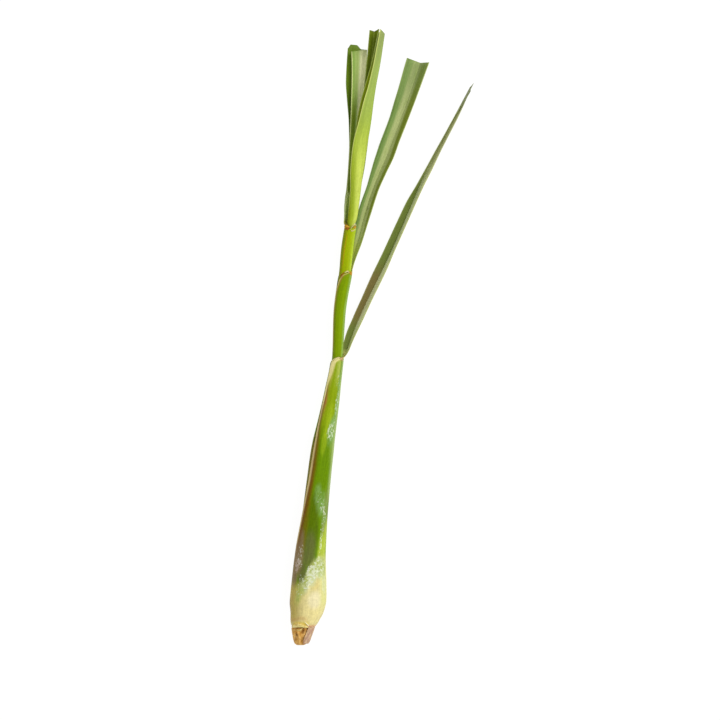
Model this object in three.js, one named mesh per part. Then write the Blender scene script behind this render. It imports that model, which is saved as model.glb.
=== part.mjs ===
// A trimmed lemongrass stalk, lying on its side on a flat surface.
// Millimetres, +Z up. The stalk runs along +Y, from its root end to the cut ends of its
// leaves, and the origin is the flat spot under the bulb that it rests on.
//
// Every leaf is one solid: a sheath rolled round the stalk, and the blade that it opens
// into at its collar. The sheaths sit one inside the next, down to the root stub.

import * as THREE from "three";

// ---- Driving dimensions -------------------------------------------------------------

const BLADE_WALL = 0.6;        // thickness of a blade and of a sheath's edge
const TUCK_GAP = 0.25;         // between the outer sheath's edge and its half that runs under it
const SEAM_DEGREES = 8;        // left open between the two edges of an inner sheath
const COLLAR_STEP = 0.8;       // spacing of the sections through a collar
const COLLAR_LENGTH = 3.8;     // stretch over which a sheath narrows to its blade's base
const REST_HEIGHT = 10.9;      // height of the bulb's middle, a little under its radius
const TIP_LENGTH = 22;         // stretch over which a blade's cut end slants or splits

// Middle line of the stalk: [y, x, z].
const STALK_LINE = [
  [-28, -4.1, 9.6], [-18, -3.1, 9.9], [-12, -1.9, 10.3], [-7, -0.6, 10.7],
  [0, 0, REST_HEIGHT], [12, 0.6, 10.5], [28, 1.3, 10.2], [55, 4.1, 9.8],
  [85, 7.5, 9.4], [99, 9.7, 9.2], [111, 11.9, 9.0], [124, 14.2, 8.9], [133, 15.6, 8.8],
  [142, 17.1, 8.7], [148, 17.9, 8.6], [152, 18.2, 8.6], [158, 18.5, 8.5], [177, 19.4, 8.5], [202, 22.7, 8.4], [217, 24.1, 8.5], [230, 26.0, 8.6],
  [239, 27.7, 8.9],
];

// Outer radius of the stalk, measured on whichever sheath is outermost: [y, radius].
const LEAF_1_RADIUS = [
  [-16, 7.2], [-12, 8.7], [-7, 10.1], [0, 11.4], [11, 10.9], [21, 10.2], [37, 9.3],
  [55, 8.3], [76, 7.85], [90, 7.5], [99, 6.9], [111, 6.1], [124, 5.35], [133, 4.8],
  [142, 4.3], [148, 4.15], [152, 4.15],
];
const LEAF_1_WALL = [[-16, 1.4], [0, 2.0], [37, 1.5], [76, 1.25], [99, 1.05], [124, 0.75], [136, 0.6]];
const LEAF_2_RADIUS = [[152, 3.3], [158, 3.4], [164, 3.55], [177, 3.85], [192, 4.2], [200, 4.6], [205, 4.65]];
const LEAF_2_WALL = [[-10, 1.6], [37, 1.4], [76, 1.2], [124, 0.9], [150, 0.6]];
const LEAF_3_RADIUS = [[205, 3.7], [217, 3.85], [232, 3.75]];
const LEAF_3_WALL = [[-6, 1.5], [76, 1.0], [124, 0.7], [150, 0.6]];
const LEAF_4_WALL = [[-2, 1.0], [76, 0.7], [124, 0.6]];
const HEART_WALL = [[76, 0.7], [124, 0.6]];

// Free space between one sheath and the next: [y, gap].
const LAYER_GAP = [[60, 0.35], [110, 0.22], [165, 0.22], [190, 0.3]];

// Where each leaf grows from the stub, and where its sheath ends at the collar.
const LEAF_1_SPAN = { base: -16, collar: 151.4 };
const LEAF_2_SPAN = { base: -9, collar: 204.4 };
const LEAF_3_SPAN = { base: -5, collar: 231.6 };
const LEAF_4_SPAN = { base: -1, collar: 231.6 };
const HEART_SPAN = { base: 3, collar: 231.6 };

const LEAF_COLOURS = {
  leaf_1: 0x6f9a2a, leaf_2: 0x7fa63a, leaf_3: 0x86a34a, leaf_4: 0x6e820f, heart_leaf: 0xa9c24e,
};

// ---- Curves through a few known values ------------------------------------------------

/** Slope at each key that keeps the curve from overshooting between keys. */
function keySlopes(keys, field) {
  const steps = keys.slice(1).map((key, i) => (key[field] - keys[i][field]) / (key[0] - keys[i][0]));
  return keys.map((_, i) => {
    if (i === 0) return steps[0];
    if (i === keys.length - 1) return steps[i - 1];
    const [before, after] = [steps[i - 1], steps[i]];
    return before * after <= 0 ? 0 : (2 * before * after) / (before + after);
  });
}

/** A smooth function of y through rows of [y, value, value, ...]; flat past its ends. */
function smoothThrough(keys) {
  const fields = keys[0].length - 1;
  const slopes = Array.from({ length: fields }, (_, f) => keySlopes(keys, f + 1));
  return (y) => {
    const at = THREE.MathUtils.clamp(y, keys[0][0], keys[keys.length - 1][0]);
    const k = Math.min(keys.length - 2, Math.max(0, keys.findIndex((key) => key[0] > at) - 1));
    const i = at >= keys[keys.length - 1][0] ? keys.length - 2 : k;
    const span = keys[i + 1][0] - keys[i][0];
    const t = (at - keys[i][0]) / span;
    return slopes.map((slope, f) => {
      const [a, b] = [keys[i][f + 1], keys[i + 1][f + 1]];
      const [ma, mb] = [slope[i] * span, slope[i + 1] * span];
      return (2 * t ** 3 - 3 * t ** 2 + 1) * a + (t ** 3 - 2 * t ** 2 + t) * ma
        + (3 * t ** 2 - 2 * t ** 3) * b + (t ** 3 - t ** 2) * mb;
    });
  };
}

const stalkLine = smoothThrough(STALK_LINE);

/** Evenly spaced values from one end to the other, no further apart than the step. */
function spaced(from, to, step) {
  const count = Math.max(1, Math.ceil((to - from) / step));
  return Array.from({ length: count + 1 }, (_, i) => from + ((to - from) * i) / count);
}

// ---- Leaf sections --------------------------------------------------------------------
// A section lies in a plane of constant y. It starts at the midrib (x, z) and runs out in
// two halves. Each half is an arc: its heading at the midrib, how far it bends inwards in
// all, and its length. Half A turns to the left as it goes, half B to the right.

const HALF_A = 1;
const HALF_B = -1;

/** Section of a sheath: two arcs round the stalk, from the midrib's direction. */
function sheathSection(sheath, y) {
  const [cx, cz] = stalkLine(y);
  const radius = sheath.radius(y);
  const middle = THREE.MathUtils.degToRad(sheath.midrib);
  const [wrapA, wrapB] = sheath.wrap(y);
  const tucked = radius - sheath.tuck(y);
  return {
    x: cx + radius * Math.cos(middle),
    z: cz + radius * Math.sin(middle),
    headA: sheath.midrib + 90, bendA: wrapA, lengthA: radius * THREE.MathUtils.degToRad(wrapA),
    headB: sheath.midrib + 270, bendB: wrapB, lengthB: tucked * THREE.MathUtils.degToRad(wrapB),
    wall: sheath.wall(y),
  };
}

/** Point and heading at a distance along one half of a section. */
function alongHalf(section, side, distance) {
  const [head, bend, length] = side === HALF_A
    ? [section.headA, section.bendA, section.lengthA]
    : [section.headB, section.bendB, section.lengthB];
  const start = THREE.MathUtils.degToRad(head);
  const turn = (side * THREE.MathUtils.degToRad(bend)) / length;
  const heading = start + turn * distance;
  if (Math.abs(turn) < 1e-6) {
    return { x: section.x + distance * Math.cos(start), z: section.z + distance * Math.sin(start), heading };
  }
  return {
    x: section.x + (Math.sin(heading) - Math.sin(start)) / turn,
    z: section.z - (Math.cos(heading) - Math.cos(start)) / turn,
    heading,
  };
}

/** Distance from the midrib at which the inner faces of a folded leaf meet. */
function foldReach(section, wall) {
  const opening = THREE.MathUtils.degToRad(section.headB - section.headA) / 2;
  return opening < Math.PI / 2 ? wall / Math.tan(opening) : 0;
}

/** Outer and inner points of a section, from the edge of half B to the edge of half A. */
function sectionPoints(section, columns) {
  const outer = [];
  const inner = [];
  for (let i = -columns; i <= columns; i += 1) {
    const side = i < 0 ? HALF_B : HALF_A;
    const share = Math.abs(i) / columns;
    const length = side === HALF_A ? section.lengthA : section.lengthB;
    const wall = THREE.MathUtils.lerp(section.wall, BLADE_WALL, share ** 2);
    const reach = Math.min(foldReach(section, wall), 0.8 * length);
    const out = alongHalf(section, side, share * length);
    const back = alongHalf(section, side, reach + share * (length - reach));
    outer.push([out.x, Math.max(0, out.z)]);
    const inward = back.heading + (side * Math.PI) / 2;
    inner.push([back.x + wall * Math.cos(inward), Math.max(wall, back.z + wall * Math.sin(inward))]);
  }
  return { outer, inner };
}

// ---- Solids ----------------------------------------------------------------------------

/** Closed solid between an outer and an inner skin that share one grid of points. */
function skinSolid(rows) {
  const across = rows[0].outer.length;
  const positions = [];
  rows.forEach((row) => [row.outer, row.inner].forEach((skin) => skin.forEach((p) => positions.push(...p))));
  const at = (j, skin, i) => (j * 2 + skin) * across + i;
  const index = [];
  const quad = (a, b, c, d) => index.push(a, b, c, a, c, d);
  for (let j = 0; j < rows.length - 1; j += 1) {
    for (let i = 0; i < across - 1; i += 1) {
      quad(at(j, 0, i), at(j + 1, 0, i), at(j + 1, 0, i + 1), at(j, 0, i + 1));
      const [a, b, c, d] = [at(j, 1, i), at(j + 1, 1, i), at(j + 1, 1, i + 1), at(j, 1, i + 1)];
      index.push(a, c, b, a, d, c);
    }
    quad(at(j, 1, 0), at(j + 1, 1, 0), at(j + 1, 0, 0), at(j, 0, 0));
    quad(at(j, 0, across - 1), at(j + 1, 0, across - 1), at(j + 1, 1, across - 1), at(j, 1, across - 1));
  }
  const last = rows.length - 1;
  for (let i = 0; i < across - 1; i += 1) {
    quad(at(0, 0, i), at(0, 0, i + 1), at(0, 1, i + 1), at(0, 1, i));
    quad(at(last, 0, i + 1), at(last, 0, i), at(last, 1, i), at(last, 1, i + 1));
  }
  const geometry = new THREE.BufferGeometry();
  geometry.setAttribute("position", new THREE.Float32BufferAttribute(positions, 3));
  geometry.setIndex(index);
  geometry.computeVertexNormals();
  return geometry;
}

/** One leaf: its sheath up to the collar, then its blade through the blade's own keys. */
function leafGeometry({ span, sheath, blade, columns, sheathRows, bladeStep, ends }) {
  const collar = sheathSection(sheath, span.collar);
  const fields = ["x", "z", "headA", "bendA", "lengthA", "headB", "bendB", "lengthB", "wall"];
  const bladeCurve = smoothThrough([
    [span.collar, ...fields.map((field) => collar[field])],
    ...blade.map((key) => [...key, BLADE_WALL]),
  ]);
  const bladeSection = (y) => Object.fromEntries(bladeCurve(y).map((value, f) => [fields[f], value]));
  const bladeStart = blade[0][0];
  const bladeEnd = blade[blade.length - 1][0];
  const stations = [
    ...sheathRows,
    ...spaced(span.collar - COLLAR_LENGTH, span.collar, COLLAR_STEP),
    ...spaced(span.collar, bladeStart, bladeStep / 3).slice(1),
    ...spaced(bladeStart, bladeEnd, bladeStep).slice(1),
  ];
  const rows = stations.map((y) => {
    const section = y <= span.collar ? sheathSection(sheath, y) : bladeSection(y);
    const { outer, inner } = sectionPoints(section, columns);
    const slant = THREE.MathUtils.smoothstep(y, bladeEnd - TIP_LENGTH, bladeEnd);
    const place = ([x, z], i) => {
      const share = (i - columns) / columns;
      const end = share < 0 ? ends.b * -share : ends.a * share;
      return [x, y + slant * end, z];
    };
    return { outer: outer.map(place), inner: inner.map(place) };
  });
  return skinSolid(rows);
}

// ---- The leaves ------------------------------------------------------------------------

const single = (keys) => {
  const curve = smoothThrough(keys);
  return (y) => curve(y)[0];
};

const layerGap = single(LAYER_GAP);

/** Radius left free inside a sheath, clear of its wall and of the half tucked under it. */
function roomInside(sheath, y) {
  const tuck = sheath.tuck(y);
  const depth = Math.max(sheath.wall(y), 2 * tuck + BLADE_WALL + Math.min(tuck, TUCK_GAP));
  return sheath.radius(y) - depth - layerGap(y);
}

/** Radius of a sheath: inside the one around it up to that one's collar, free above it. */
function nestedRadius(around, aroundSpan, freeKeys) {
  const free = freeKeys ? single(freeKeys) : null;
  return (y) => (free && y > aroundSpan.collar ? free(y) : roomInside(around, y));
}

/** Wraps of a closed sheath's halves: [y, half A], half B all the rest but the seam. */
function closed(keys) {
  return keys.map(([y, wrapA]) => [y, wrapA, 360 - SEAM_DEGREES - wrapA]);
}

const sheath1 = {
  midrib: -40,
  radius: single(LEAF_1_RADIUS),
  wall: single(LEAF_1_WALL),
  // Half B runs on under half A along the bulb, and only meets it higher up.
  wrap: smoothThrough([
    [-16, 224, 170], [16, 222, 172], [28, 206, 176], [38, 200, 176], [55, 188, 184], [76, 175, 196],
    [88, 173, 190], [99, 178, 174], [111, 190, 162], [124, 197, 155], [142, 199, 153],
    [147.6, 192, 150], [148.8, 160, 122], [149.8, 120, 90], [150.6, 78, 58], [151.4, 36, 22],
  ]),
  tuck: single([[-16, 0.42], [76, 0.42], [88, 0.3], [99, 0.0]]),
};
const sheath2 = {
  midrib: -50,
  radius: nestedRadius(sheath1, LEAF_1_SPAN, LEAF_2_RADIUS),
  wall: single(LEAF_2_WALL),
  wrap: smoothThrough([
    ...closed([[170, 228], [190, 215], [197, 188], [200.6, 165]]),
    [202.2, 128, 140], [203.4, 84, 92], [204.4, 36, 44],
  ]),
  tuck: () => 0,
};
const sheath3 = {
  midrib: -75,
  radius: nestedRadius(sheath2, LEAF_2_SPAN, LEAF_3_RADIUS),
  wall: single(LEAF_3_WALL),
  wrap: smoothThrough([
    ...closed([[200, 200], [224, 188], [227.8, 178]]), [229.4, 140, 150], [230.6, 80, 110], [231.6, 40, 84],
  ]),
  tuck: () => 0,
};
const sheath4 = {
  midrib: -90,
  radius: nestedRadius(sheath3, LEAF_3_SPAN, null),
  wall: single(LEAF_4_WALL),
  wrap: smoothThrough([[190, 172, 172], [231.6, 76, 76]]),
  tuck: () => 0,
};
const heartRoll = {
  midrib: 0,
  radius: nestedRadius(sheath4, LEAF_4_SPAN, null),
  wall: single(HEART_WALL),
  wrap: () => [172, 172],
  tuck: () => 0,
};

// Blade keys: [y, x, z, headA, bendA, lengthA, headB, bendB, lengthB].

// Folded like a trough, the midrib lowest; it closes up towards its far end.
const LEAF_1_BLADE = [
  [155, 23.3, 5.3, 62, 16, 3.2, 180, 14, 1.3],
  [159.6, 25.3, 5.0, 68, 10, 4.2, 145, 10, 3.3],
  [166.4, 28.6, 4.4, 66, 8, 5.2, 146, 8, 5.1],
  [174.4, 31.6, 3.8, 62, 6, 5.8, 140, 8, 5.9],
  [183.3, 35.7, 3.2, 60, 6, 6.1, 140, 8, 6.1],
  [204.2, 46.0, 2.2, 64, 4, 6.3, 150, 6, 6.3],
  [217, 52.1, 1.7, 70, 4, 6.2, 150, 6, 6.2],
  [244.3, 64.2, 0.8, 76, 4, 5.9, 147, 6, 5.9],
  [256.7, 70.4, 0.5, 79, 4, 5.6, 136, 6, 5.6],
  [275.9, 78.5, 0.1, 80, 4, 5.0, 122, 4, 5.0],
  [290.2, 86.0, 0, 78, 4, 4.5, 113, 4, 4.5],
  [304.4, 94.3, 0, 78, 4, 3.9, 112, 4, 3.9],
  [318, 101.1, 0, 76, 4, 3.1, 108, 4, 3.1],
];

// A wide open trough; half B lies almost flat, half A stands up.
const LEAF_2_BLADE = [
  [208, 26.8, 3.9, 44, 20, 2.8, 206, 24, 3.2],
  [212, 27.9, 3.3, 48, 12, 3.0, 196, 14, 3.4],
  [221.3, 30.6, 3.1, 54, 6, 3.8, 186, 8, 4.5],
  [232.5, 33.3, 2.7, 57, 6, 4.4, 181, 6, 4.3],
  [243.7, 36.5, 2.3, 56, 6, 5.0, 178, 6, 4.8],
  [254.2, 40.0, 2.0, 50, 6, 5.6, 172, 6, 4.6],
  [264.1, 43.9, 1.7, 52, 6, 6.0, 168, 6, 5.7],
  [274, 48.3, 1.4, 50, 6, 6.4, 167, 6, 7.3],
  [284, 52.0, 1.1, 45, 6, 6.9, 166, 6, 7.7],
  [296.4, 56.7, 0.9, 44, 6, 7.1, 167, 6, 7.6],
  [313, 62.8, 0.6, 44, 6, 7.4, 169, 6, 8.5],
  [333, 69.6, 0.5, 42, 6, 7.8, 169, 6, 8.7],
];

// A trough behind the heart leaf that folds flat to the left: A in front, B behind.
const LEAF_3_BLADE = [
  [235, 27.3, 4.0, 24, 20, 1.6, 184, 50, 5.2],
  [240, 27.9, 2.5, 66, 12, 1.2, 172, 18, 5.8],
  [247, 28.8, 2.2, 130, 14, 2.4, 174, 8, 6.2],
  [254.2, 29.6, 2.3, 150, 14, 6.2, 184, 6, 5.8],
  [271.6, 31.2, 2.2, 155, 12, 6.6, 192, 8, 6.2],
  [296, 33.2, 2.1, 156, 12, 7.1, 194, 10, 8.2],
  [310, 34.3, 1.8, 156, 12, 7.5, 194, 12, 10.4],
  [322, 35.2, 1.6, 156, 12, 7.5, 194, 14, 12.0],
  [335, 36.3, 1.5, 156, 12, 7.2, 194, 15, 12.4],
  [341, 36.6, 1.5, 156, 12, 7.0, 194, 15, 12.2],
];

// A narrow inner leaf behind the heart leaf, a shallow V.
const LEAF_4_BLADE = [
  [235, 26.7, 5.0, 8, 34, 2.2, 172, 34, 2.2],
  [241, 28.5, 4.3, 14, 14, 2.7, 166, 14, 2.7],
  [254.2, 30.8, 4.1, 16, 4, 2.9, 164, 4, 2.9],
  [271.6, 34.0, 4.4, 20, 4, 3.0, 160, 4, 3.0],
  [296, 36.5, 5.2, 26, 4, 3.2, 154, 4, 3.2],
  [318.7, 37.7, 6.0, 29, 4, 3.4, 151, 4, 3.4],
  [331, 38.9, 6.5, 30, 4, 3.5, 150, 4, 3.5],
  [352, 41.0, 7.2, 30, 4, 3.6, 150, 4, 3.6],
];

// The youngest leaf: a roll that opens along its left side, its midrib on the right.
const HEART_BLADE = [
  [235, 29.7, 8.9, 90, 172, 7.7, 270, 172, 7.7],
  [240, 31.0, 9.1, 90, 170, 9.3, 270, 170, 9.3],
  [254.2, 32.8, 10.0, 92, 160, 9.8, 268, 160, 9.8],
  [263.6, 34.0, 10.6, 100, 132, 10.4, 260, 132, 10.2],
  [271.6, 35.2, 11.1, 110, 110, 10.6, 250, 110, 10.2],
  [279, 36.3, 11.6, 120, 90, 10.4, 240, 90, 10.1],
  [285.5, 37.4, 12.1, 128, 75, 10.0, 232, 72, 10.0],
  [294.5, 38.9, 12.7, 133, 60, 8.8, 228, 60, 10.0],
  [308.5, 40.7, 13.4, 138, 45, 6.9, 222, 45, 9.0],
  [318.2, 42.2, 13.8, 140, 36, 5.4, 220, 40, 7.7],
  [332, 44.8, 14.3, 140, 30, 4.7, 220, 35, 6.3],
  [350, 47.5, 14.8, 136, 25, 3.4, 222, 30, 4.8],
];

// Rows of the inner sheaths, closer where the stalk bends at its neck.
const NECK_ROWS = [
  ...spaced(21, 129, 18).slice(1), ...spaced(129, 147.6, 6.4).slice(1), LEAF_1_SPAN.collar,
];

const LEAVES = [
  {
    name: "leaf_1", span: LEAF_1_SPAN, sheath: sheath1, blade: LEAF_1_BLADE,
    columns: 9, bladeStep: 6.5, ends: { a: 2.2, b: -3 },
    sheathRows: [...spaced(-16, 26, 3.5), ...spaced(26, 142, 10).slice(1)],
  },
  {
    name: "leaf_2", span: LEAF_2_SPAN, sheath: sheath2, blade: LEAF_2_BLADE,
    columns: 8, bladeStep: 6.5, ends: { a: 0, b: 3 },
    sheathRows: [...spaced(-9, 21, 6), ...NECK_ROWS, ...spaced(LEAF_1_SPAN.collar, 195, 7.4).slice(1)],
  },
  {
    name: "leaf_3", span: LEAF_3_SPAN, sheath: sheath3, blade: LEAF_3_BLADE,
    columns: 8, bladeStep: 6.5, ends: { a: -2.5, b: 1.2 },
    sheathRows: [...spaced(-5, 21, 6.5), ...NECK_ROWS, ...spaced(LEAF_1_SPAN.collar, 196, 11.5).slice(1), ...spaced(200, 222, 5.5)],
  },
  {
    name: "leaf_4", span: LEAF_4_SPAN, sheath: sheath4, blade: LEAF_4_BLADE,
    columns: 5, bladeStep: 8, ends: { a: 1.5, b: 0.8 },
    sheathRows: [...spaced(-1, 21, 7.5), ...NECK_ROWS, ...spaced(LEAF_1_SPAN.collar, 226, 12.5).slice(1)],
  },
  {
    name: "heart_leaf", span: HEART_SPAN, sheath: heartRoll, blade: HEART_BLADE,
    columns: 8, bladeStep: 5.5, ends: { a: 3, b: 1.4 },
    sheathRows: [...spaced(3, 21, 9), ...NECK_ROWS, ...spaced(LEAF_1_SPAN.collar, 226, 12.5).slice(1)],
  },
];

// ---- Root end --------------------------------------------------------------------------

const STUB_SIDES = 20;
const STUB_TIP = -27.3;
const STUB_TOP = -16.4;         // where it runs up into the bulb
const STUB_SHIFT = -0.6;        // how far it sits to the left of the stalk's middle line
const SCALE_WALL = 0.9;
const SCALE_GAP = 0.35;         // between the scale and the stub
const SCALE_MIDDLE = 12;        // direction of the scale's middle, in degrees
// Radius of the stub where it shows below the bulb: [y, radius].
const STUB_RADIUS = [[STUB_TIP, 2.5], [-26.3, 4.0], [-22.5, 5.4], [-18, 6.3], [STUB_TOP, 6.4]];
// Degrees that the scale runs each way round the stub: [y, degrees].
const SCALE_CLASP = [[-26.3, 60], [-24, 62], [-20, 56], [-16.6, 50]];

/** Middle of the stub: on the stalk's line inside the bulb, to its left below. */
function stubMiddle(y) {
  const [cx, cz] = stalkLine(y);
  return [y <= STUB_TOP ? cx + STUB_SHIFT : cx, cz];
}

/** Outline of the stub: the root end, then a step inwards under each sheath's base. */
function stubOutline() {
  const root = single(STUB_RADIUS);
  const below = [STUB_TIP, -26.3, -24.5, -22.5, -20, -18, STUB_TOP].map((y) => [root(y), y]);
  const sheaths = [
    [sheath1, LEAF_1_SPAN], [sheath2, LEAF_2_SPAN], [sheath3, LEAF_3_SPAN], [sheath4, LEAF_4_SPAN],
  ];
  const steps = sheaths.flatMap(([sheath, span], k) => {
    const top = k + 1 < sheaths.length ? sheaths[k + 1][1].base : HEART_SPAN.base;
    return spaced(span.base, top - layerGap(top), 4).map((y) => [roomInside(sheath, y), y]);
  });
  return [...below, ...steps];
}

/** The root stub: rings of points round the stalk's middle line, closed at both ends. */
function stubGeometry() {
  const outline = stubOutline();
  const positions = [];
  outline.forEach(([radius, y]) => {
    const [cx, cz] = stubMiddle(y);
    for (let i = 0; i < STUB_SIDES; i += 1) {
      const angle = (2 * Math.PI * i) / STUB_SIDES;
      positions.push(cx + radius * Math.cos(angle), y, cz + radius * Math.sin(angle));
    }
  });
  const ends = [outline[0][1], outline[outline.length - 1][1]];
  ends.forEach((y) => positions.push(stubMiddle(y)[0], y, stubMiddle(y)[1]));
  const index = [];
  const at = (j, i) => j * STUB_SIDES + (i % STUB_SIDES);
  const [firstMiddle, lastMiddle] = [outline.length * STUB_SIDES, outline.length * STUB_SIDES + 1];
  for (let i = 0; i < STUB_SIDES; i += 1) {
    for (let j = 0; j < outline.length - 1; j += 1) {
      index.push(at(j, i), at(j + 1, i), at(j + 1, i + 1), at(j, i), at(j + 1, i + 1), at(j, i + 1));
    }
    index.push(firstMiddle, at(0, i), at(0, i + 1));
    index.push(lastMiddle, at(outline.length - 1, i + 1), at(outline.length - 1, i));
  }
  const geometry = new THREE.BufferGeometry();
  geometry.setAttribute("position", new THREE.Float32BufferAttribute(positions, 3));
  geometry.setIndex(index);
  geometry.computeVertexNormals();
  return geometry;
}

/** The dried scale that clasps the right side of the stub. */
function scaleGeometry() {
  const root = single(STUB_RADIUS);
  const clasp = single(SCALE_CLASP);
  const first = SCALE_CLASP[0][0];
  const last = SCALE_CLASP[SCALE_CLASP.length - 1][0];
  const rows = spaced(first, last, 2).map((y) => {
    const [cx, cz] = stubMiddle(y);
    const radius = root(y) + SCALE_GAP + SCALE_WALL;
    const wrap = clasp(y);
    const middle = THREE.MathUtils.degToRad(SCALE_MIDDLE);
    const section = {
      x: cx + radius * Math.cos(middle), z: cz + radius * Math.sin(middle),
      headA: SCALE_MIDDLE + 90, bendA: wrap, lengthA: radius * THREE.MathUtils.degToRad(wrap),
      headB: SCALE_MIDDLE + 270, bendB: wrap, lengthB: radius * THREE.MathUtils.degToRad(wrap),
      wall: SCALE_WALL,
    };
    const { outer, inner } = sectionPoints(section, 5);
    const place = ([x, z]) => [x, y, z];
    return { outer: outer.map(place), inner: inner.map(place) };
  });
  return skinSolid(rows);
}

// ---- The stalk --------------------------------------------------------------------------

/** One named mesh with its own plain finish. */
function piece(name, geometry, colour, roughness) {
  const material = new THREE.MeshStandardMaterial({ color: colour, roughness, metalness: 0 });
  const mesh = new THREE.Mesh(geometry, material);
  mesh.name = name;
  return mesh;
}

const stalk = new THREE.Group();
stalk.add(piece("root_stub", stubGeometry(), 0xb98a4c, 0.8));
stalk.add(piece("base_scale", scaleGeometry(), 0xbf9684, 0.7));
LEAVES.forEach((leaf) => stalk.add(piece(leaf.name, leafGeometry(leaf), LEAF_COLOURS[leaf.name], 0.55)));

export default stalk;
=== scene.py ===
"""A trimmed lemongrass stalk lying on a pale surface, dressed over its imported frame."""

import logging
import math
from dataclasses import dataclass
from enum import Enum
from typing import Callable, Sequence

import bpy
import numpy as np
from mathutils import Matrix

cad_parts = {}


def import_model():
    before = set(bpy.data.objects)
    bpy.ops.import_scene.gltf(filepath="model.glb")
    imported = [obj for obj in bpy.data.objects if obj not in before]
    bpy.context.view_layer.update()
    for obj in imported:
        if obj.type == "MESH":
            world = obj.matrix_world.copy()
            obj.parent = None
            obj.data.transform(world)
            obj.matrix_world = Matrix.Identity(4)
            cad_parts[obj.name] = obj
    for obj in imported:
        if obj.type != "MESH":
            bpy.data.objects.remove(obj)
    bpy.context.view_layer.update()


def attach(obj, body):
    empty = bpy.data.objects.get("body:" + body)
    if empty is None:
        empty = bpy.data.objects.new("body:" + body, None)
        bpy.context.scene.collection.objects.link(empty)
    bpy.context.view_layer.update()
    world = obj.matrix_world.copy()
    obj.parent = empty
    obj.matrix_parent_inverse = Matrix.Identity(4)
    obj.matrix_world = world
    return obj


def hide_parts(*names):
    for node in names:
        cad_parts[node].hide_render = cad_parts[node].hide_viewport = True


LOG = logging.getLogger("lemongrass")
MM = 0.001
ROOT_BODY = "root"
REST_HEIGHT = 10.9
RNG_SEED = 7


# ---- Curves -------------------------------------------------------------------------


class Curve:
    """A smooth function of y through rows of (y, value, ...), flat past its ends."""

    def __init__(self, keys: Sequence[Sequence[float]]) -> None:
        """Keeps the keys and works out a slope at each that never overshoots.

        Args:
            keys: Rows of y and its values, with y rising.
        """
        table = np.array(keys, dtype=float)
        self.y, self.values = table[:, 0], table[:, 1:]
        steps = np.diff(self.values, axis=0) / np.diff(self.y)[:, None]
        slopes = np.vstack([steps[:1], np.zeros_like(self.values[1:-1]), steps[-1:]])
        before, after = steps[:-1], steps[1:]
        product = before * after
        total = np.where(product > 0, before + after, 1.0)
        slopes[1:-1] = np.where(product > 0, 2 * product / total, 0.0)
        self.slopes = slopes

    def __call__(self, y: float | np.ndarray) -> np.ndarray:
        """Values at y: one row for each y, or a single row for a single y."""
        at = np.clip(np.atleast_1d(np.asarray(y, dtype=float)), self.y[0], self.y[-1])
        i = np.clip(np.searchsorted(self.y, at, side="right") - 1, 0, len(self.y) - 2)
        span = (self.y[i + 1] - self.y[i])[:, None]
        t = (at - self.y[i])[:, None] / span
        rows = (
            (2 * t**3 - 3 * t**2 + 1) * self.values[i]
            + (t**3 - 2 * t**2 + t) * span * self.slopes[i]
            + (3 * t**2 - 2 * t**3) * self.values[i + 1]
            + (t**3 - t**2) * span * self.slopes[i + 1]
        )
        return rows[0] if np.ndim(y) == 0 else rows

    def one(self, y: float | np.ndarray) -> float | np.ndarray:
        """The first value alone, as a number or a flat array."""
        rows = self(y)
        return rows[0] if np.ndim(y) == 0 else rows[:, 0]


def ramp(low: float, high: float, x: float | np.ndarray) -> np.ndarray:
    """Smooth step from 0 at low to 1 at high; the other way round if low is above high."""
    t = np.clip((np.asarray(x, dtype=float) - low) / (high - low), 0, 1)
    return t * t * (3 - 2 * t)


def plateau(
    start: float, full: float, waning: float | np.ndarray, end: float | np.ndarray, x: np.ndarray,
) -> np.ndarray:
    """Smooth step up from start to full and down again from waning to end."""
    return ramp(start, full, x) * ramp(end, waning, x)


def bump_at(centre: float, half_width: float, x: float | np.ndarray) -> np.ndarray:
    """Smooth bell that is 1 at the centre and 0 from a half width away."""
    t = np.clip(1 - np.abs(np.asarray(x, dtype=float) - centre) / half_width, 0, 1)
    return t * t * (3 - 2 * t)


def spaced(start: float, stop: float, step: float) -> list[float]:
    """Even steps from start to stop, both included, no longer than step."""
    count = max(1, math.ceil((stop - start) / step))
    return [start + (stop - start) * i / count for i in range(count + 1)]


class Wander:
    """Slow random waves over a surface, the same on every run."""

    def __init__(self, seed: int, waves: int = 7) -> None:
        """Draws the waves.

        Args:
            seed: Seed of the random draw.
            waves: How many waves are added up.
        """
        draw = np.random.default_rng(RNG_SEED * 1000 + seed)
        self.across = draw.uniform(0.4, 2.6, waves)
        self.along = draw.uniform(0.03, 0.17, waves)
        self.phase = draw.uniform(0, 2 * math.pi, waves)
        self.share = draw.uniform(0.5, 1.0, waves) / waves

    def __call__(self, across: np.ndarray, along: np.ndarray) -> np.ndarray:
        """Height of the waves, between about -1 and 1.

        Args:
            across: Turn round or across the surface, in radians or the like.
            along: Distance along the surface, in millimetres.

        Returns:
            An array of the inputs' shape.
        """
        total = np.zeros(np.broadcast(across, along).shape)
        for a, b, phase, share in zip(self.across, self.along, self.phase, self.share):
            total = total + share * np.sin(a * across + b * along + phase)
        return total


STALK_LINE = Curve([
    (-28, -4.1, 9.6), (-18, -3.1, 9.9), (-12, -1.9, 10.3), (-7, -0.6, 10.7),
    (0, 0, REST_HEIGHT), (12, 0.6, 10.5), (28, 1.3, 10.2), (55, 4.1, 9.8),
    (85, 7.5, 9.4), (99, 9.7, 9.2), (111, 11.9, 9.0), (124, 14.2, 8.9), (133, 15.6, 8.8),
    (142, 17.1, 8.7), (148, 17.9, 8.6), (152, 18.2, 8.6), (158, 18.5, 8.5),
    (177, 19.4, 8.5), (202, 22.7, 8.4), (217, 24.1, 8.5), (230, 26.0, 8.6), (239, 27.7, 8.9),
])


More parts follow.
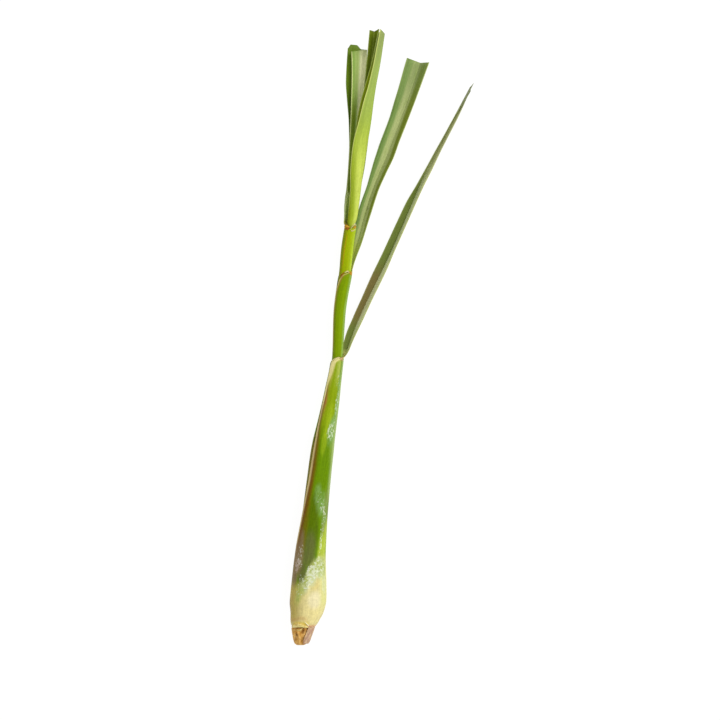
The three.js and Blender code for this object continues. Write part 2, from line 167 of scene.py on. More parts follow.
# ---- Sections -----------------------------------------------------------------------


class Half(Enum):
    """The two halves of a leaf, seen from its midrib."""

    A = 1
    B = -1


@dataclass(frozen=True)
class Section:
    """Cut through a leaf at one y: two arcs that start at the midrib.

    Headings and bends are in degrees, lengths in millimetres.
    """

    x: float
    z: float
    head_a: float
    bend_a: float
    length_a: float
    head_b: float
    bend_b: float
    length_b: float
    wall: float

    def along(self, side: Half, distance: np.ndarray) -> tuple[np.ndarray, np.ndarray, np.ndarray]:
        """Points and headings along one half.

        Args:
            side: Which half to follow.
            distance: Distances from the midrib.

        Returns:
            The x values, z values and headings in radians.
        """
        head, bend, length = (
            (self.head_a, self.bend_a, self.length_a)
            if side is Half.A
            else (self.head_b, self.bend_b, self.length_b)
        )
        start = math.radians(head)
        turn = side.value * max(math.radians(bend), 1e-4) / length
        heading = start + turn * distance
        x = self.x + (np.sin(heading) - math.sin(start)) / turn
        z = self.z - (np.cos(heading) - math.cos(start)) / turn
        return x, z, heading

    def fold_reach(self, wall: float) -> float:
        """Distance from the midrib at which the inner faces of a folded leaf meet."""
        opening = math.radians(self.head_b - self.head_a) / 2
        return wall / math.tan(opening) if opening < math.pi / 2 else 0.0


@dataclass(frozen=True)
class Sheath:
    """The rolled lower part of a leaf.

    Attributes:
        midrib: Direction of the midrib from the stalk's middle, in degrees.
        radius: Outer radius at y.
        wall: Thickness at the midrib at y.
        wrap: Degrees that halves A and B run round the stalk at y.
        tuck: How much smaller half B's radius is, so that it runs under half A.
    """

    midrib: float
    radius: Callable[[float], float]
    wall: Callable[[float], float]
    wrap: Curve
    tuck: Callable[[float], float] = lambda _y: 0.0

    def section(self, y: float) -> Section:
        """Cut through the sheath at y."""
        cx, cz = STALK_LINE(y)
        radius = self.radius(y)
        middle = math.radians(self.midrib)
        wrap_a, wrap_b = self.wrap(y)
        return Section(
            x=cx + radius * math.cos(middle),
            z=cz + radius * math.sin(middle),
            head_a=self.midrib + 90, bend_a=wrap_a, length_a=radius * math.radians(wrap_a),
            head_b=self.midrib + 270, bend_b=wrap_b,
            length_b=(radius - self.tuck(y)) * math.radians(wrap_b),
            wall=self.wall(y),
        )


# ---- Mesh making ----------------------------------------------------------------------

Fields = dict[str, np.ndarray]


def ring(middle: Sequence[float], radius: np.ndarray, turn: np.ndarray, y: float | np.ndarray) -> np.ndarray:
    """Points at a radius and a turn in radians round a middle (x, z), one a row."""
    level = np.broadcast_to(y, turn.shape)
    return np.stack([middle[0] + radius * np.cos(turn), level, middle[1] + radius * np.sin(turn)], axis=1)


def grid_faces(rows: int, columns: int, first: int, flip: bool) -> np.ndarray:
    """Quads of a grid of points.

    Args:
        rows: Rows of points.
        columns: Points in a row.
        first: Index of the grid's first point.
        flip: Whether the faces look the other way.

    Returns:
        An array of four indices a face.
    """
    j, i = np.meshgrid(np.arange(rows - 1), np.arange(columns - 1), indexing="ij")
    a = first + (j * columns + i).ravel()
    quads = np.stack([a, a + columns, a + columns + 1, a + 1], axis=1)
    return quads[:, ::-1] if flip else quads


def closed_strip_faces(rows: int, columns: int) -> np.ndarray:
    """Faces of a closed body between an outer and an inner grid of like size."""
    inner = rows * columns
    outer_faces = grid_faces(rows, columns, 0, False)
    inner_faces = grid_faces(rows, columns, inner, True)
    j = np.arange(rows - 1)
    left = j * columns
    right = left + columns - 1
    sides = [
        np.stack([left + inner, left + inner + columns, left + columns, left], axis=1),
        np.stack([right, right + columns, right + inner + columns, right + inner], axis=1),
    ]
    i = np.arange(columns - 1)
    far = (rows - 1) * columns + i
    ends = [
        np.stack([i, i + 1, i + 1 + inner, i + inner], axis=1),
        np.stack([far + 1, far, far + inner, far + inner + 1], axis=1),
    ]
    return np.vstack([outer_faces, inner_faces, *sides, *ends])


def make_mesh(name: str, points: np.ndarray, faces: np.ndarray, fields: Fields) -> bpy.types.Object:
    """One smooth mesh object, in metres, with its fields as point attributes.

    Args:
        name: Name of the piece.
        points: Points in millimetres, one a row.
        faces: Quads as rows of four indices.
        fields: Values at the points; rows of three make a vector attribute.

    Returns:
        The linked object.
    """
    mesh = bpy.data.meshes.new(name)
    mesh.from_pydata((points * MM).tolist(), [], faces.tolist())
    mesh.validate()
    mesh.polygons.foreach_set("use_smooth", np.ones(len(mesh.polygons), dtype=bool))
    for key, values in fields.items():
        if values.ndim == 2:
            layer = mesh.attributes.new(key, "FLOAT_VECTOR", "POINT")
            layer.data.foreach_set("vector", values.astype(np.float32).ravel())
        else:
            layer = mesh.attributes.new(key, "FLOAT", "POINT")
            layer.data.foreach_set("value", values.astype(np.float32))
    mesh.update()
    piece = bpy.data.objects.new(name, mesh)
    bpy.context.scene.collection.objects.link(piece)
    return piece


def place(
    piece: bpy.types.Object, finish: bpy.types.Material, slot: str, *nodes: str,
) -> bpy.types.Object:
    """Dresses a piece and hands it to the frame.

    Args:
        piece: The finished mesh.
        finish: Material of its whole skin.
        slot: Material slot that the finish stands for; not used.
        nodes: Nodes that the piece stands for.

    Returns:
        The same object.
    """
    piece.data.materials.append(finish)
    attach(piece, ROOT_BODY)
    if nodes:
        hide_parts(*nodes)
    LOG.info("%s: %d faces", piece.name, len(piece.data.polygons))
    return piece


# ---- Finishes -------------------------------------------------------------------------

Colour = tuple[float, float, float]
Socket = bpy.types.NodeSocket


def srgb(red: int, green: int, blue: int) -> Colour:
    """A colour given as it looks on a screen, 0 to 255, as linear light."""
    return tuple(
        (c / 255 / 12.92) if c / 255 <= 0.04045 else ((c / 255 + 0.055) / 1.055) ** 2.4
        for c in (red, green, blue)
    )


class NodeBench:
    """Short calls that add shader nodes to one material."""

    def __init__(self, name: str) -> None:
        """Makes an empty material with its output.

        Args:
            name: Name of the material.
        """
        self.material = bpy.data.materials.new(name)
        self.material.use_nodes = True
        self.tree = self.material.node_tree
        self.tree.nodes.clear()
        self.output = self.tree.nodes.new("ShaderNodeOutputMaterial")
        self.shader = self.tree.nodes.new("ShaderNodeBsdfPrincipled")
        self.link(self.shader.outputs["BSDF"], self.output.inputs["Surface"])

    def link(self, source: Socket, target: Socket) -> None:
        """Joins two sockets."""
        self.tree.links.new(source, target)

    def feed(self, socket: Socket, value: object) -> None:
        """Links a socket or sets its value, whichever was given."""
        if isinstance(value, Socket):
            self.link(value, socket)
        else:
            socket.default_value = value

    def value_of(self, name: str) -> Socket:
        """A number kept at the points of the mesh."""
        node = self.tree.nodes.new("ShaderNodeAttribute")
        node.attribute_name = name
        return node.outputs["Fac"]

    def strip(self, across: float, along: float, shift: float = 0.0) -> Socket:
        """Coordinates across and along the leaf.

        Args:
            across: Repeats a millimetre across.
            along: Repeats a millimetre along.
            shift: Offset that sets one use apart from the next.

        Returns:
            A vector socket.
        """
        node = self.tree.nodes.new("ShaderNodeAttribute")
        node.attribute_name = "strip"
        scaled = self.tree.nodes.new("ShaderNodeVectorMath")
        scaled.operation = "MULTIPLY_ADD"
        self.link(node.outputs["Vector"], scaled.inputs[0])
        scaled.inputs[1].default_value = (across, along, 1.0)
        scaled.inputs[2].default_value = (shift, shift, shift)
        return scaled.outputs[0]

    def noise(self, vector: Socket, detail: float, roughness: float) -> Socket:
        """Cloudy noise over a vector, about 0.5 on average."""
        node = self.tree.nodes.new("ShaderNodeTexNoise")
        self.link(vector, node.inputs["Vector"])
        node.inputs["Scale"].default_value = 1.0
        node.inputs["Detail"].default_value = detail
        node.inputs["Roughness"].default_value = roughness
        return node.outputs["Fac"]

    def maths(self, operation: str, first: object, second: object = 0.0, clamp: bool = False) -> Socket:
        """One sum on numbers or sockets."""
        node = self.tree.nodes.new("ShaderNodeMath")
        node.operation = operation
        node.use_clamp = clamp
        self.feed(node.inputs[0], first)
        self.feed(node.inputs[1], second)
        return node.outputs[0]

    def span(
        self, value: Socket, low: float, high: float, to_low: float = 0.0, to_high: float = 1.0,
    ) -> Socket:
        """Maps a range of values on to another, smoothly and without passing its ends."""
        node = self.tree.nodes.new("ShaderNodeMapRange")
        node.interpolation_type = "SMOOTHSTEP"
        self.link(value, node.inputs["Value"])
        ends = {"From Min": low, "From Max": high, "To Min": to_low, "To Max": to_high}
        for name, number in ends.items():
            node.inputs[name].default_value = number
        return node.outputs["Result"]

    def weigh(self, first: Socket, share: float, second: Socket) -> Socket:
        """Adds a share of the first value to the rest of the second."""
        rest = self.maths("MULTIPLY", second, 1 - share)
        return self.maths("ADD", self.maths("MULTIPLY", first, share), rest)

    def blend(self, share: object, first: object, second: object) -> Socket:
        """Mixes two colours."""
        node = self.tree.nodes.new("ShaderNodeMix")
        node.data_type = "RGBA"
        self.feed(node.inputs["Factor"], share)
        for socket, value in ((node.inputs[6], first), (node.inputs[7], second)):
            self.feed(socket, (*value, 1.0) if isinstance(value, tuple) else value)
        return node.outputs[2]

    def brighten(self, colour: Socket, factor: Socket) -> Socket:
        """Multiplies a colour by a number."""
        node = self.tree.nodes.new("ShaderNodeVectorMath")
        node.operation = "SCALE"
        self.link(colour, node.inputs[0])
        self.link(factor, node.inputs["Scale"])
        return node.outputs[0]

    def skin(self, roughness: Socket | float, gloss: float) -> None:
        """Sets how rough and how glossy the surface is."""
        self.feed(self.shader.inputs["Roughness"], roughness)
        self.shader.inputs["Specular IOR Level"].default_value = gloss

    def relief(self, height: Socket, depth: float) -> None:
        """Gives the surface fine relief.

        Args:
            height: Socket with the height, 0 to 1.
            depth: Full height in millimetres.
        """
        node = self.tree.nodes.new("ShaderNodeBump")
        node.inputs["Strength"].default_value = 1.0
        node.inputs["Distance"].default_value = depth * MM
        self.link(height, node.inputs["Height"])
        self.link(node.outputs["Normal"], self.shader.inputs["Normal"])


FLECK_FALL = 0.5
FLECK_SPAN = (0.4, 0.56)
CLOUD_SWING = 4.0
# Repeats a millimetre across and along, and an offset, of each noise on a leaf.
FINE_GRAIN = (2.6, 0.05, 11.0)
BROAD_GRAIN = (0.55, 0.02, 23.0)
SPOT_GRAIN = (1.3, 0.6, 37.0)


@dataclass(frozen=True)
class Tint:
    """A colour laid where a field of the mesh says.

    Attributes:
        field_name: Field of the mesh, 0 to 1.
        colour: Colour where it is 1.
        patchy: How far cloudy noise breaks it up, or the strength of its flecks.
        grain: Repeats a millimetre of that noise, across and along.
        flecks: Whether it breaks up into separate flecks as the field falls.
    """

    field_name: str
    colour: Colour
    patchy: float
    grain: tuple[float, float] = (0.6, 0.12)
    flecks: bool = False


@dataclass(frozen=True)
class LeafFinish:
    """Skin of a fresh leaf: tints over a ground colour, lengthwise streaks and veins.

    Attributes:
        name: Name of the material.
        ground: Colour where no tint lies.
        tints: Tints in the order they are laid.
        streak: Strength of the lengthwise light and dark streaks.
        mottle: Strength of the small cloudy light and dark spots.
        vein_spacing: Distance between fine veins, in millimetres.
        vein_depth: Depth of the fine veins, in millimetres.
        vein_shade: How much darker the grooves are.
        roughness: Roughness of the plain skin.
        bloom_roughness: Roughness where wax lies.
        gloss: Specular level.
    """

    name: str
    ground: Colour
    tints: tuple[Tint, ...]
    streak: float = 0.16
    mottle: float = 0.07
    vein_spacing: float = 0.55
    vein_depth: float = 0.035
    vein_shade: float = 0.05
    roughness: float = 0.42
    bloom_roughness: float = 0.75
    gloss: float = 0.05

    def build(self) -> bpy.types.Material:
        """Makes the material."""
        bench = NodeBench(self.name)
        fine = bench.noise(bench.strip(*FINE_GRAIN), 3.0, 0.6)
        broad = bench.noise(bench.strip(*BROAD_GRAIN), 2.0, 0.5)
        spots = bench.noise(bench.strip(*SPOT_GRAIN), 4.0, 0.65)
        vein = self.veins(bench)
        colour = self.tinted(bench)
        for value, strength in ((bench.weigh(fine, 0.6, broad), self.streak), (spots, self.mottle)):
            colour = bench.brighten(colour, bench.span(value, 0.3, 0.7, 1 - strength, 1 + strength))
        colour = bench.brighten(colour, bench.span(vein, 0.0, 1.0, 1 - self.vein_shade, 1.0))
        bench.link(colour, bench.shader.inputs["Base Color"])
        wax = bench.value_of("bloom")
        bench.skin(bench.span(wax, 0.0, 1.0, self.roughness, self.bloom_roughness), self.gloss)
        bench.relief(bench.weigh(vein, 0.6, fine), self.vein_depth)
        return bench.material

    def tinted(self, bench: NodeBench) -> Socket:
        """The ground colour with every tint laid over it."""
        colour: object = self.ground
        for number, tint in enumerate(self.tints):
            share = bench.value_of(tint.field_name)
            if tint.flecks:
                cloud = bench.noise(bench.strip(*tint.grain, shift=2.3 * number + 4.1), 5.0, 0.7)
                sunk = bench.maths("MULTIPLY", bench.maths("SUBTRACT", share, 1.0), FLECK_FALL)
                spots = bench.span(bench.maths("ADD", cloud, sunk), *FLECK_SPAN)
                share = bench.maths("MULTIPLY", spots, tint.patchy)
            else:
                cloud = bench.noise(bench.strip(*tint.grain, shift=3.1 * number + 1.7), 4.0, 0.62)
                swing = bench.maths("MULTIPLY", bench.maths("SUBTRACT", cloud, 0.5), CLOUD_SWING)
                factor = bench.maths("ADD", bench.maths("MULTIPLY", swing, tint.patchy), 1.0)
                share = bench.maths("MULTIPLY", share, factor, clamp=True)
            colour = bench.blend(share, colour, tint.colour)
        return colour

    def veins(self, bench: NodeBench) -> Socket:
        """Even lines along the leaf: 1 on a vein's crest and 0 in the groove beside it."""
        across = bench.tree.nodes.new("ShaderNodeSeparateXYZ")
        bench.link(bench.strip(1.0, 1.0), across.inputs[0])
        phase = bench.maths("MULTIPLY", across.outputs[0], 2 * math.pi / self.vein_spacing)
        return bench.span(bench.maths("SINE", phase), -1.0, 1.0)


# ---- Leaves ---------------------------------------------------------------------------

LAYER_GAP = Curve([(60, 0.35), (110, 0.22), (165, 0.22), (190, 0.3)])
TUCK_GAP = 0.25
CAD_BLADE_WALL = 0.6
TIP_LENGTH = 22.0
FULL_TURN = 360.0
FAR_OFF = 99.0
THIN_RIM = 0.45
INNER_SHIFT = 40.0


def room_inside(sheath: Sheath, y: float) -> float:
    """Radius left free inside a sheath, clear of its wall and of its tucked half."""
    tuck = sheath.tuck(y)
    depth = max(sheath.wall(y), 2 * tuck + CAD_BLADE_WALL + min(tuck, TUCK_GAP))
    return sheath.radius(y) - depth - LAYER_GAP.one(y)


def nested(around: Sheath, collar: float, free: Curve | None = None) -> Callable[[float], float]:
    """Radius of a sheath inside another, its own once past the other's collar.

    Args:
        around: The sheath round it.
        collar: Where that sheath ends.
        free: Radius beyond it, if the inner sheath has one of its own.

    Returns:
        A function of y.
    """
    return lambda y: free.one(y) if free is not None and y > collar else room_inside(around, y)


@dataclass(frozen=True)
class Lay:
    """Where each point of a leaf's grid lies.

    Attributes:
        y: Distance along the stalk, one row each.
        share: Place across the leaf, -1 at half B's edge and 1 at half A's.
        turn: Direction from the stalk's middle, -90 to 270 degrees.
        rim: Distance to the nearer long edge, in millimetres.
        inside: 1 on the inner skin and 0 on the outer.
    """

    y: np.ndarray
    share: np.ndarray
    turn: np.ndarray
    rim: np.ndarray
    inside: np.ndarray

    def edge(self, side: Half) -> np.ndarray:
        """Distance to the long edge of one half, and a long way off on the other half."""
        return np.where(self.share * side.value > 0, self.rim, FAR_OFF)


@dataclass(frozen=True)
class Spell:
    """A stretch of a leaf and the longest step between its rows."""

    start: float
    stop: float
    step: float


@dataclass(frozen=True)
class Ribs:
    """Lengthwise ridges of a leaf.

    Attributes:
        count: Ridges on each half.
        depth: Depth of the grooves between them on the sheath, in millimetres.
        blade_depth: Depth of the grooves on the blade.
        sway: Height of the slow waves of the skin.
    """

    count: int
    depth: float
    blade_depth: float
    sway: float = 0.1


@dataclass
class Leaf:
    """One leaf: its rolled sheath and its blade, in one piece.

    Attributes:
        name: Node that it stands for, and name of the piece.
        slot: Material slot of its finish.
        sheath: Its rolled part.
        collar: Where the sheath ends.
        blade: Sections of the blade, rows of y and eight numbers.
        ends: How far the far edges of halves A and B run past the midrib.
        columns: Columns on each half.
        spells: Rows of the grid.
        ribs: Its ridges.
        finish: Its skin.
        widths: Nominal half widths of sheath and blade, that space the veins.
        thin: Thickness of the blade.
        seed: Seed of its slow waves.
        crown: How far the middle of half B's end arches out.
    """

    name: str
    slot: str
    sheath: Sheath
    collar: float
    blade: Sequence[Sequence[float]]
    ends: tuple[float, float]
    columns: int
    spells: Sequence[Spell]
    ribs: Ribs
    finish: LeafFinish
    widths: tuple[float, float] = (18.0, 7.0)
    thin: float = 0.34
    seed: int = 1
    crown: float = 0.0

    def section(self, y: float) -> Section:
        """Cut through the leaf at y."""
        return self.sheath.section(y) if y <= self.collar else Section(*self.blade_curve(y))

    def join_blade(self) -> None:
        """Runs the blade's curve from the sheath's last section through its own rows."""
        last = self.sheath.section(self.collar)
        first_row = (
            self.collar, last.x, last.z, last.head_a, last.bend_a, last.length_a,
            last.head_b, last.bend_b, last.length_b, last.wall,
        )
        rows = [(*row, CAD_BLADE_WALL) for row in self.blade]
        self.blade_curve = Curve([first_row, *rows])

    def row_places(self) -> np.ndarray:
        """Every y that has a row of points."""
        places = [y for spell in self.spells for y in spaced(spell.start, spell.stop, spell.step)]
        return np.array(sorted(set(places)))

    def strip_grids(self) -> tuple[np.ndarray, np.ndarray, Lay, Lay]:
        """Outer and inner grids of points, each with its lay."""
        shares = np.linspace(-1, 1, 2 * self.columns + 1)
        places = self.row_places()
        wander = Wander(self.seed)
        end = places[-1]
        grids = {0: [], 1: []}
        rims, turns = [], {0: [], 1: []}
        for y in places:
            cut = self.section(y)
            outer, inner, rim = self.row_points(cut, shares, y, wander)
            slant = ramp(end - TIP_LENGTH, end, y)
            far = np.where(shares < 0, self.ends[1] * -shares, self.ends[0] * shares)
            far = far + self.crown * ramp(-1.0, -0.82, shares) * ramp(-0.3, -0.55, shares)
            for number, row in ((0, outer), (1, inner)):
                grids[number].append(np.stack([row[0], y + slant * far, row[1]], axis=1))
                cx, cz = STALK_LINE(y)
                turn = np.degrees(np.arctan2(row[1] - cz, row[0] - cx))
                turns[number].append(np.where(turn < -90, turn + FULL_TURN, turn))
            rims.append(rim)
        rim = np.array(rims)
        along, across = np.broadcast_arrays(places[:, None], shares[None, :])
        lays = [
            Lay(along, across, np.array(turns[k]), rim, np.full(rim.shape, float(k)))
            for k in (0, 1)
        ]
        return np.array(grids[0]), np.array(grids[1]), lays[0], lays[1]

    def row_points(
        self, cut: Section, shares: np.ndarray, y: float, wander: Wander,
    ) -> tuple[tuple[np.ndarray, np.ndarray], tuple[np.ndarray, np.ndarray], np.ndarray]:
        """Points of one row.

        Args:
            cut: Section at this row.
            shares: Places across the leaf.
            y: Place along the stalk.
            wander: Slow waves of the skin.

        Returns:
            Outer x and z, inner x and z, and the distance to the nearer long edge.
        """
        blade = float(ramp(self.collar - 3, self.collar + 6, y))
        middle_wall = cut.wall + (self.thin - cut.wall) * blade
        outer_x, outer_z, inner_x, inner_z, rim = (np.zeros(len(shares)) for _ in range(5))
        depth = self.ribs.depth + (self.ribs.blade_depth - self.ribs.depth) * blade
        for side in Half:
            picked = shares >= 0 if side is Half.A else shares < 0
            share = np.abs(shares[picked])
            length = cut.length_a if side is Half.A else cut.length_b
            wall = middle_wall + (self.thin - middle_wall) * share**2
            wall = wall * (1 - THIN_RIM * ramp(0.93, 1.0, share))
            x, z, heading = cut.along(side, share * length)
            groove = 0.5 - 0.5 * np.cos(2 * math.pi * self.ribs.count * share + 0.8 * side.value)
            waves = self.ribs.sway * (0.5 + 0.5 * wander(share * side.value * 3, y))
            sunk = depth * groove * ramp(1.0, 0.97, share) + waves
            inward = heading + side.value * math.pi / 2
            outer_x[picked] = x + sunk * np.cos(inward)
            outer_z[picked] = np.maximum(0.0, z + sunk * np.sin(inward))
            reach = np.minimum(cut.fold_reach(middle_wall), 0.8 * length)
            bx, bz, back = cut.along(side, reach + share * (length - reach))
            inward = back + side.value * math.pi / 2
            into = wall + waves * blade
            inner_x[picked] = bx + into * np.cos(inward)
            inner_z[picked] = np.maximum(wall, bz + into * np.sin(inward))
            rim[picked] = (1 - share) * length
        return (outer_x, outer_z), (inner_x, inner_z), rim

    def common_fields(self, lay: Lay) -> Fields:
        """Fields that every leaf has."""
        sheath_width, blade_width = self.widths
        blade = ramp(self.collar - 4, self.collar + 8, lay.y)
        width = sheath_width + (blade_width - sheath_width) * blade
        return {
            "strip": np.stack([lay.share * width, lay.y, lay.inside * INNER_SHIFT], axis=-1),
            "bloom": np.zeros(lay.y.shape),
        }

    def own_fields(self, lay: Lay) -> Fields:
        """Fields of this leaf alone."""
        return {}

    def build(self) -> bpy.types.Object:
        """Makes the leaf, dresses it and hands it to the frame."""
        self.join_blade()
        outer, inner, outer_lay, inner_lay = self.strip_grids()
        rows, columns = outer.shape[:2]
        sheets = [{**self.common_fields(lay), **self.own_fields(lay)} for lay in (outer_lay, inner_lay)]
        fields = {
            key: np.concatenate([sheet[key].reshape(rows * columns, -1) for sheet in sheets]).squeeze()
            for key in sheets[0]
        }
        points = np.vstack([outer.reshape(-1, 3), inner.reshape(-1, 3)])
        piece = make_mesh(self.name, points, closed_strip_faces(rows, columns), fields)
        return place(piece, self.finish.build(), self.slot, self.name)


def patches(lay: Lay, *rows: Sequence[float]) -> np.ndarray:
    """The strongest of several soft oval patches at each point.

    Args:
        lay: Where the points lie.
        rows: Turn and y of a patch's middle, its half turn, its half length and its strength,
            which is 1 where a row has only four numbers.

    Returns:
        One value a point.
    """
    values = []
    for turn, y, half_turn, half_length, *strength in rows:
        far = np.hypot((lay.turn - turn) / half_turn, (lay.y - y) / half_length)
        values.append(math.prod(strength) * ramp(1.25, 0.55, far))
    return np.max(values, axis=0)


def scaled(share: np.ndarray, fields: Fields) -> Fields:
    """The same fields, each multiplied by a share."""
    return {key: share * values for key, values in fields.items()}


class OuterLeaf(Leaf):
    """The outermost leaf: cream bulb, green sheath and the long blade to the right."""

    cream_end = Curve([
        (-90, 30), (-40, 34), (0, 27), (25, 25), (38, 25), (50, 25), (77, 23.5),
        (92, 18.5), (104, 13.5), (120, 9), (133, 7), (180, 2), (230, 12), (270, 30),
    ])

    def own_fields(self, lay: Lay) -> Fields:
        """Every tint of the bulb, the sheath and the blade."""
        blade = ramp(self.collar - 1.5, self.collar + 5, lay.y)
        return {
            **self.bulb_fields(lay),
            **self.stain_fields(lay),
            **self.bloom_fields(lay),
            **self.sheath_fields(lay),
            **scaled(1 - blade, self.upper_fields(lay)),
            **scaled(blade, self.blade_fields(lay)),
            "blade_root": bump_at(160, 13, lay.y) * ramp(-0.06, 0.06, lay.share),
            "blade_tip": ramp(252, 280, lay.y) * np.maximum(ramp(-0.06, 0.06, lay.share), 0.6) * 0.9,
            "blade_end": ramp(300, 312, lay.y) * 0.85,
        }

    def bulb_fields(self, lay: Lay) -> Fields:
        """Cream base with its lip and painted shade under it, its shaded left side and the mist along its
        upper end.
        """
        y, turn = lay.y, lay.turn
        wander = Wander(31)
        fine = wander(lay.share * 60, y * 3)
        soft = self.cream_end.one(turn.ravel()).reshape(turn.shape) + 5 * wander(lay.share * 9, y * 2)
        edge = soft + 11 * fine
        left = ramp(88, 150, turn)
        fold = y - 1.2 * bump_at(106, 36, turn)
        return {
            "cream": ramp(edge + 4, edge - 6, y),
            "mist": bump_at(-3.8, 8, y - soft - 2 * fine) * plateau(8, 30, 122, 146, turn) * 0.85,
            "left_shade": left * ramp(14, 6, y) * (0.45 + 0.5 * ramp(-15, -8, y)),
            "left_edge": ramp(4, -2, y) * bump_at(176, 17, turn + 0.5 * y),
            "right_green": ramp(62, 34, turn) * plateau(-9, 2, 24, 30, y) * 0.6,
            "lip": ramp(-12.0, -13.6, y + 1.4 * bump_at(150, 24, turn)) * plateau(64, 80, 142, 156, turn),
            "base_shade": bump_at(-11.6, 2.4, fold) * ramp(66, 100, turn) * 0.4,
            "base_rose": ramp(-14.0, -16.0, y) * ramp(98, 82, turn),
            # Brown at the bulb's lower end under the lip: painted shade in the hollow below it.
            "base_end_shade": ramp(-15.2, -15.8, y) * plateau(80, 96, 156, 170, turn),
        }

    def stain_fields(self, lay: Lay) -> Fields:
        """Soft patches of other colours on the bulb and above it."""
        return {
            "lime": patches(lay, (32, 34, 28, 10), (48, 28, 16, 7), (14, 40, 24, 12, 0.9)),
            "mauve": patches(lay, (146, 27, 32, 13), (156, 15, 24, 8), (138, 36, 20, 9, 0.85)),
            "mauve_light": patches(lay, (141, 23, 18, 7)),
            "olive": patches(lay, (116, 18, 18, 7.5), (97, 31, 28, 13, 0.9)),
            "gold": patches(lay, (70, 11, 18, 4.5, 0.45), (136, 2, 22, 6, 0.4)),
            "warm": patches(lay, (76, -9, 46, 7, 0.8)),
            "pearl": patches(lay, (66, 1, 26, 6, 0.55)),
            "tongue": patches(lay, (92, 42, 30, 14), (96, 54, 24, 14)),
            "collar_dark": patches(lay, (46, 149.6, 16, 1.5, 0.8)),
        }

    def bloom_fields(self, lay: Lay) -> Fields:
        """Wax: an even veil, a haze over the bulb's end, and white flecks."""
        return {
            "wax": patches(
                lay, (84, 66, 18, 7, 0.5), (62, 60, 24, 8, 0.6), (38, 54, 20, 9, 0.5),
                (44, 105, 34, 10, 0.8), (28, 118, 26, 14, 0.8), (26, 134, 26, 14, 0.6),
            ),
            "haze": patches(
                lay, (50, 20.5, 32, 6.5), (84, 15, 22, 6, 0.8), (104, 9, 16, 4.5, 0.6),
                (28, 12, 14, 9, 0.5),
            ),
            "bloom": patches(
                lay, (54, 21, 34, 9, 0.9), (82, 17, 24, 8, 0.95), (100, 12, 22, 7, 0.9),
                (118, 6, 20, 6, 0.75), (30, 10, 18, 8, 0.8), (128, 28, 18, 12, 0.82),
                (122, 14, 12, 8, 0.7), (76, 8, 24, 5, 0.6), (44, 2, 14, 6, 0.6),
                (50, 35, 9, 8, 0.9), (48, 44, 12, 9, 0.8), (42, 53, 13, 7, 0.85),
                (54, 58, 20, 6, 0.85), (76, 64, 18, 6, 0.75), (56, 105, 32, 8, 0.9),
                (36, 113, 24, 9, 0.8), (40, 123, 24, 9, 0.85), (52, 136, 30, 8, 0.72),
                (104, 60, 20, 8, 0.45), (124, 47, 14, 10, 0.6),
            ),
        }

    def sheath_fields(self, lay: Lay) -> Fields:
        """Greens low on the sheath and the brown beside its dry margin."""
        y, turn, near_a = lay.y, lay.turn, lay.edge(Half.A)
        olive_from = y + 24 * ramp(138, 176, turn) + 3 * lay.share
        return {
            "right_low": ramp(60, 44, turn) * plateau(36, 46, 60, 72, y) * 0.9,
            "olive_left": ramp(104, 124, turn) * ramp(112, 92, y) * ramp(28, 38, olive_from),
            "brown": ramp(5.6, 2.4, near_a) * plateau(26, 42, 70, 118, y) * 0.9,
            "blush": ramp(5.2, 1.4, near_a) * bump_at(124, 14, y),
        }

    def upper_fields(self, lay: Lay) -> Fields:
        """Greens higher on the sheath, its dry margin, the cream band up to its collar and a painted
        highlight along its right side.
        """
        y, turn, near_a = lay.y, lay.turn, lay.edge(Half.A)
        band = 0.7 + 0.7 * ramp(112, 132, y) + 1.4 * ramp(132, 144, y)
        return {
            "upper": ramp(97, 116, y),
            "upper_light": patches(lay, (86, 102, 16, 12, 0.7), (84, 114, 20, 9, 0.7)),
            "upper_pale": ramp(128, 146, y) * ramp(96, 66, turn),
            "right_high": ramp(58, 42, turn) * ramp(82, 94, y),
            "dry": ramp(3.6, 1.6, near_a) * ramp(26, 42, y) * 0.75,
            "margin": ramp(1.9, 1.2, near_a) * ramp(26, 42, y),
            "cream_fade": ramp(5.2, 2.6, near_a) * ramp(128, 140, y) * 0.75,
            "cream_band": ramp(1.6, 0.9, near_a / band) * ramp(114, 128, y),
            # Pale bloom along the right side, with a painted highlight where that side faces the lamp.
            "right_bloom_and_highlight": plateau(-30, 0, 18, 44, turn) * ramp(58, 70, y),
            "collar_rim": ramp(self.collar - 2.4, self.collar - 1.0, y),
        }

    def blade_fields(self, lay: Lay) -> Fields:
        """The two faces of the blade and its edges."""
        y, near_a, near_b = lay.y, lay.edge(Half.A), lay.edge(Half.B)
        half_a = ramp(-0.06, 0.06, lay.share)
        edges = np.maximum(ramp(0.6, 0.2, near_a), 0.2 * ramp(0.6, 0.15, near_b))
        return {
            "blade_dark": (1 - half_a) * (0.25 + 0.75 * lay.inside),
            "blade_brown": (1 - half_a) * plateau(166, 178, 198, 212, y),
            # Half A is pale: partly its own paler face, partly painted glow of light shining through the
            # thin blade.
            "blade_pale_and_glow": half_a,
            "blade_edge": ramp(282, 258, y) * edges,
        }


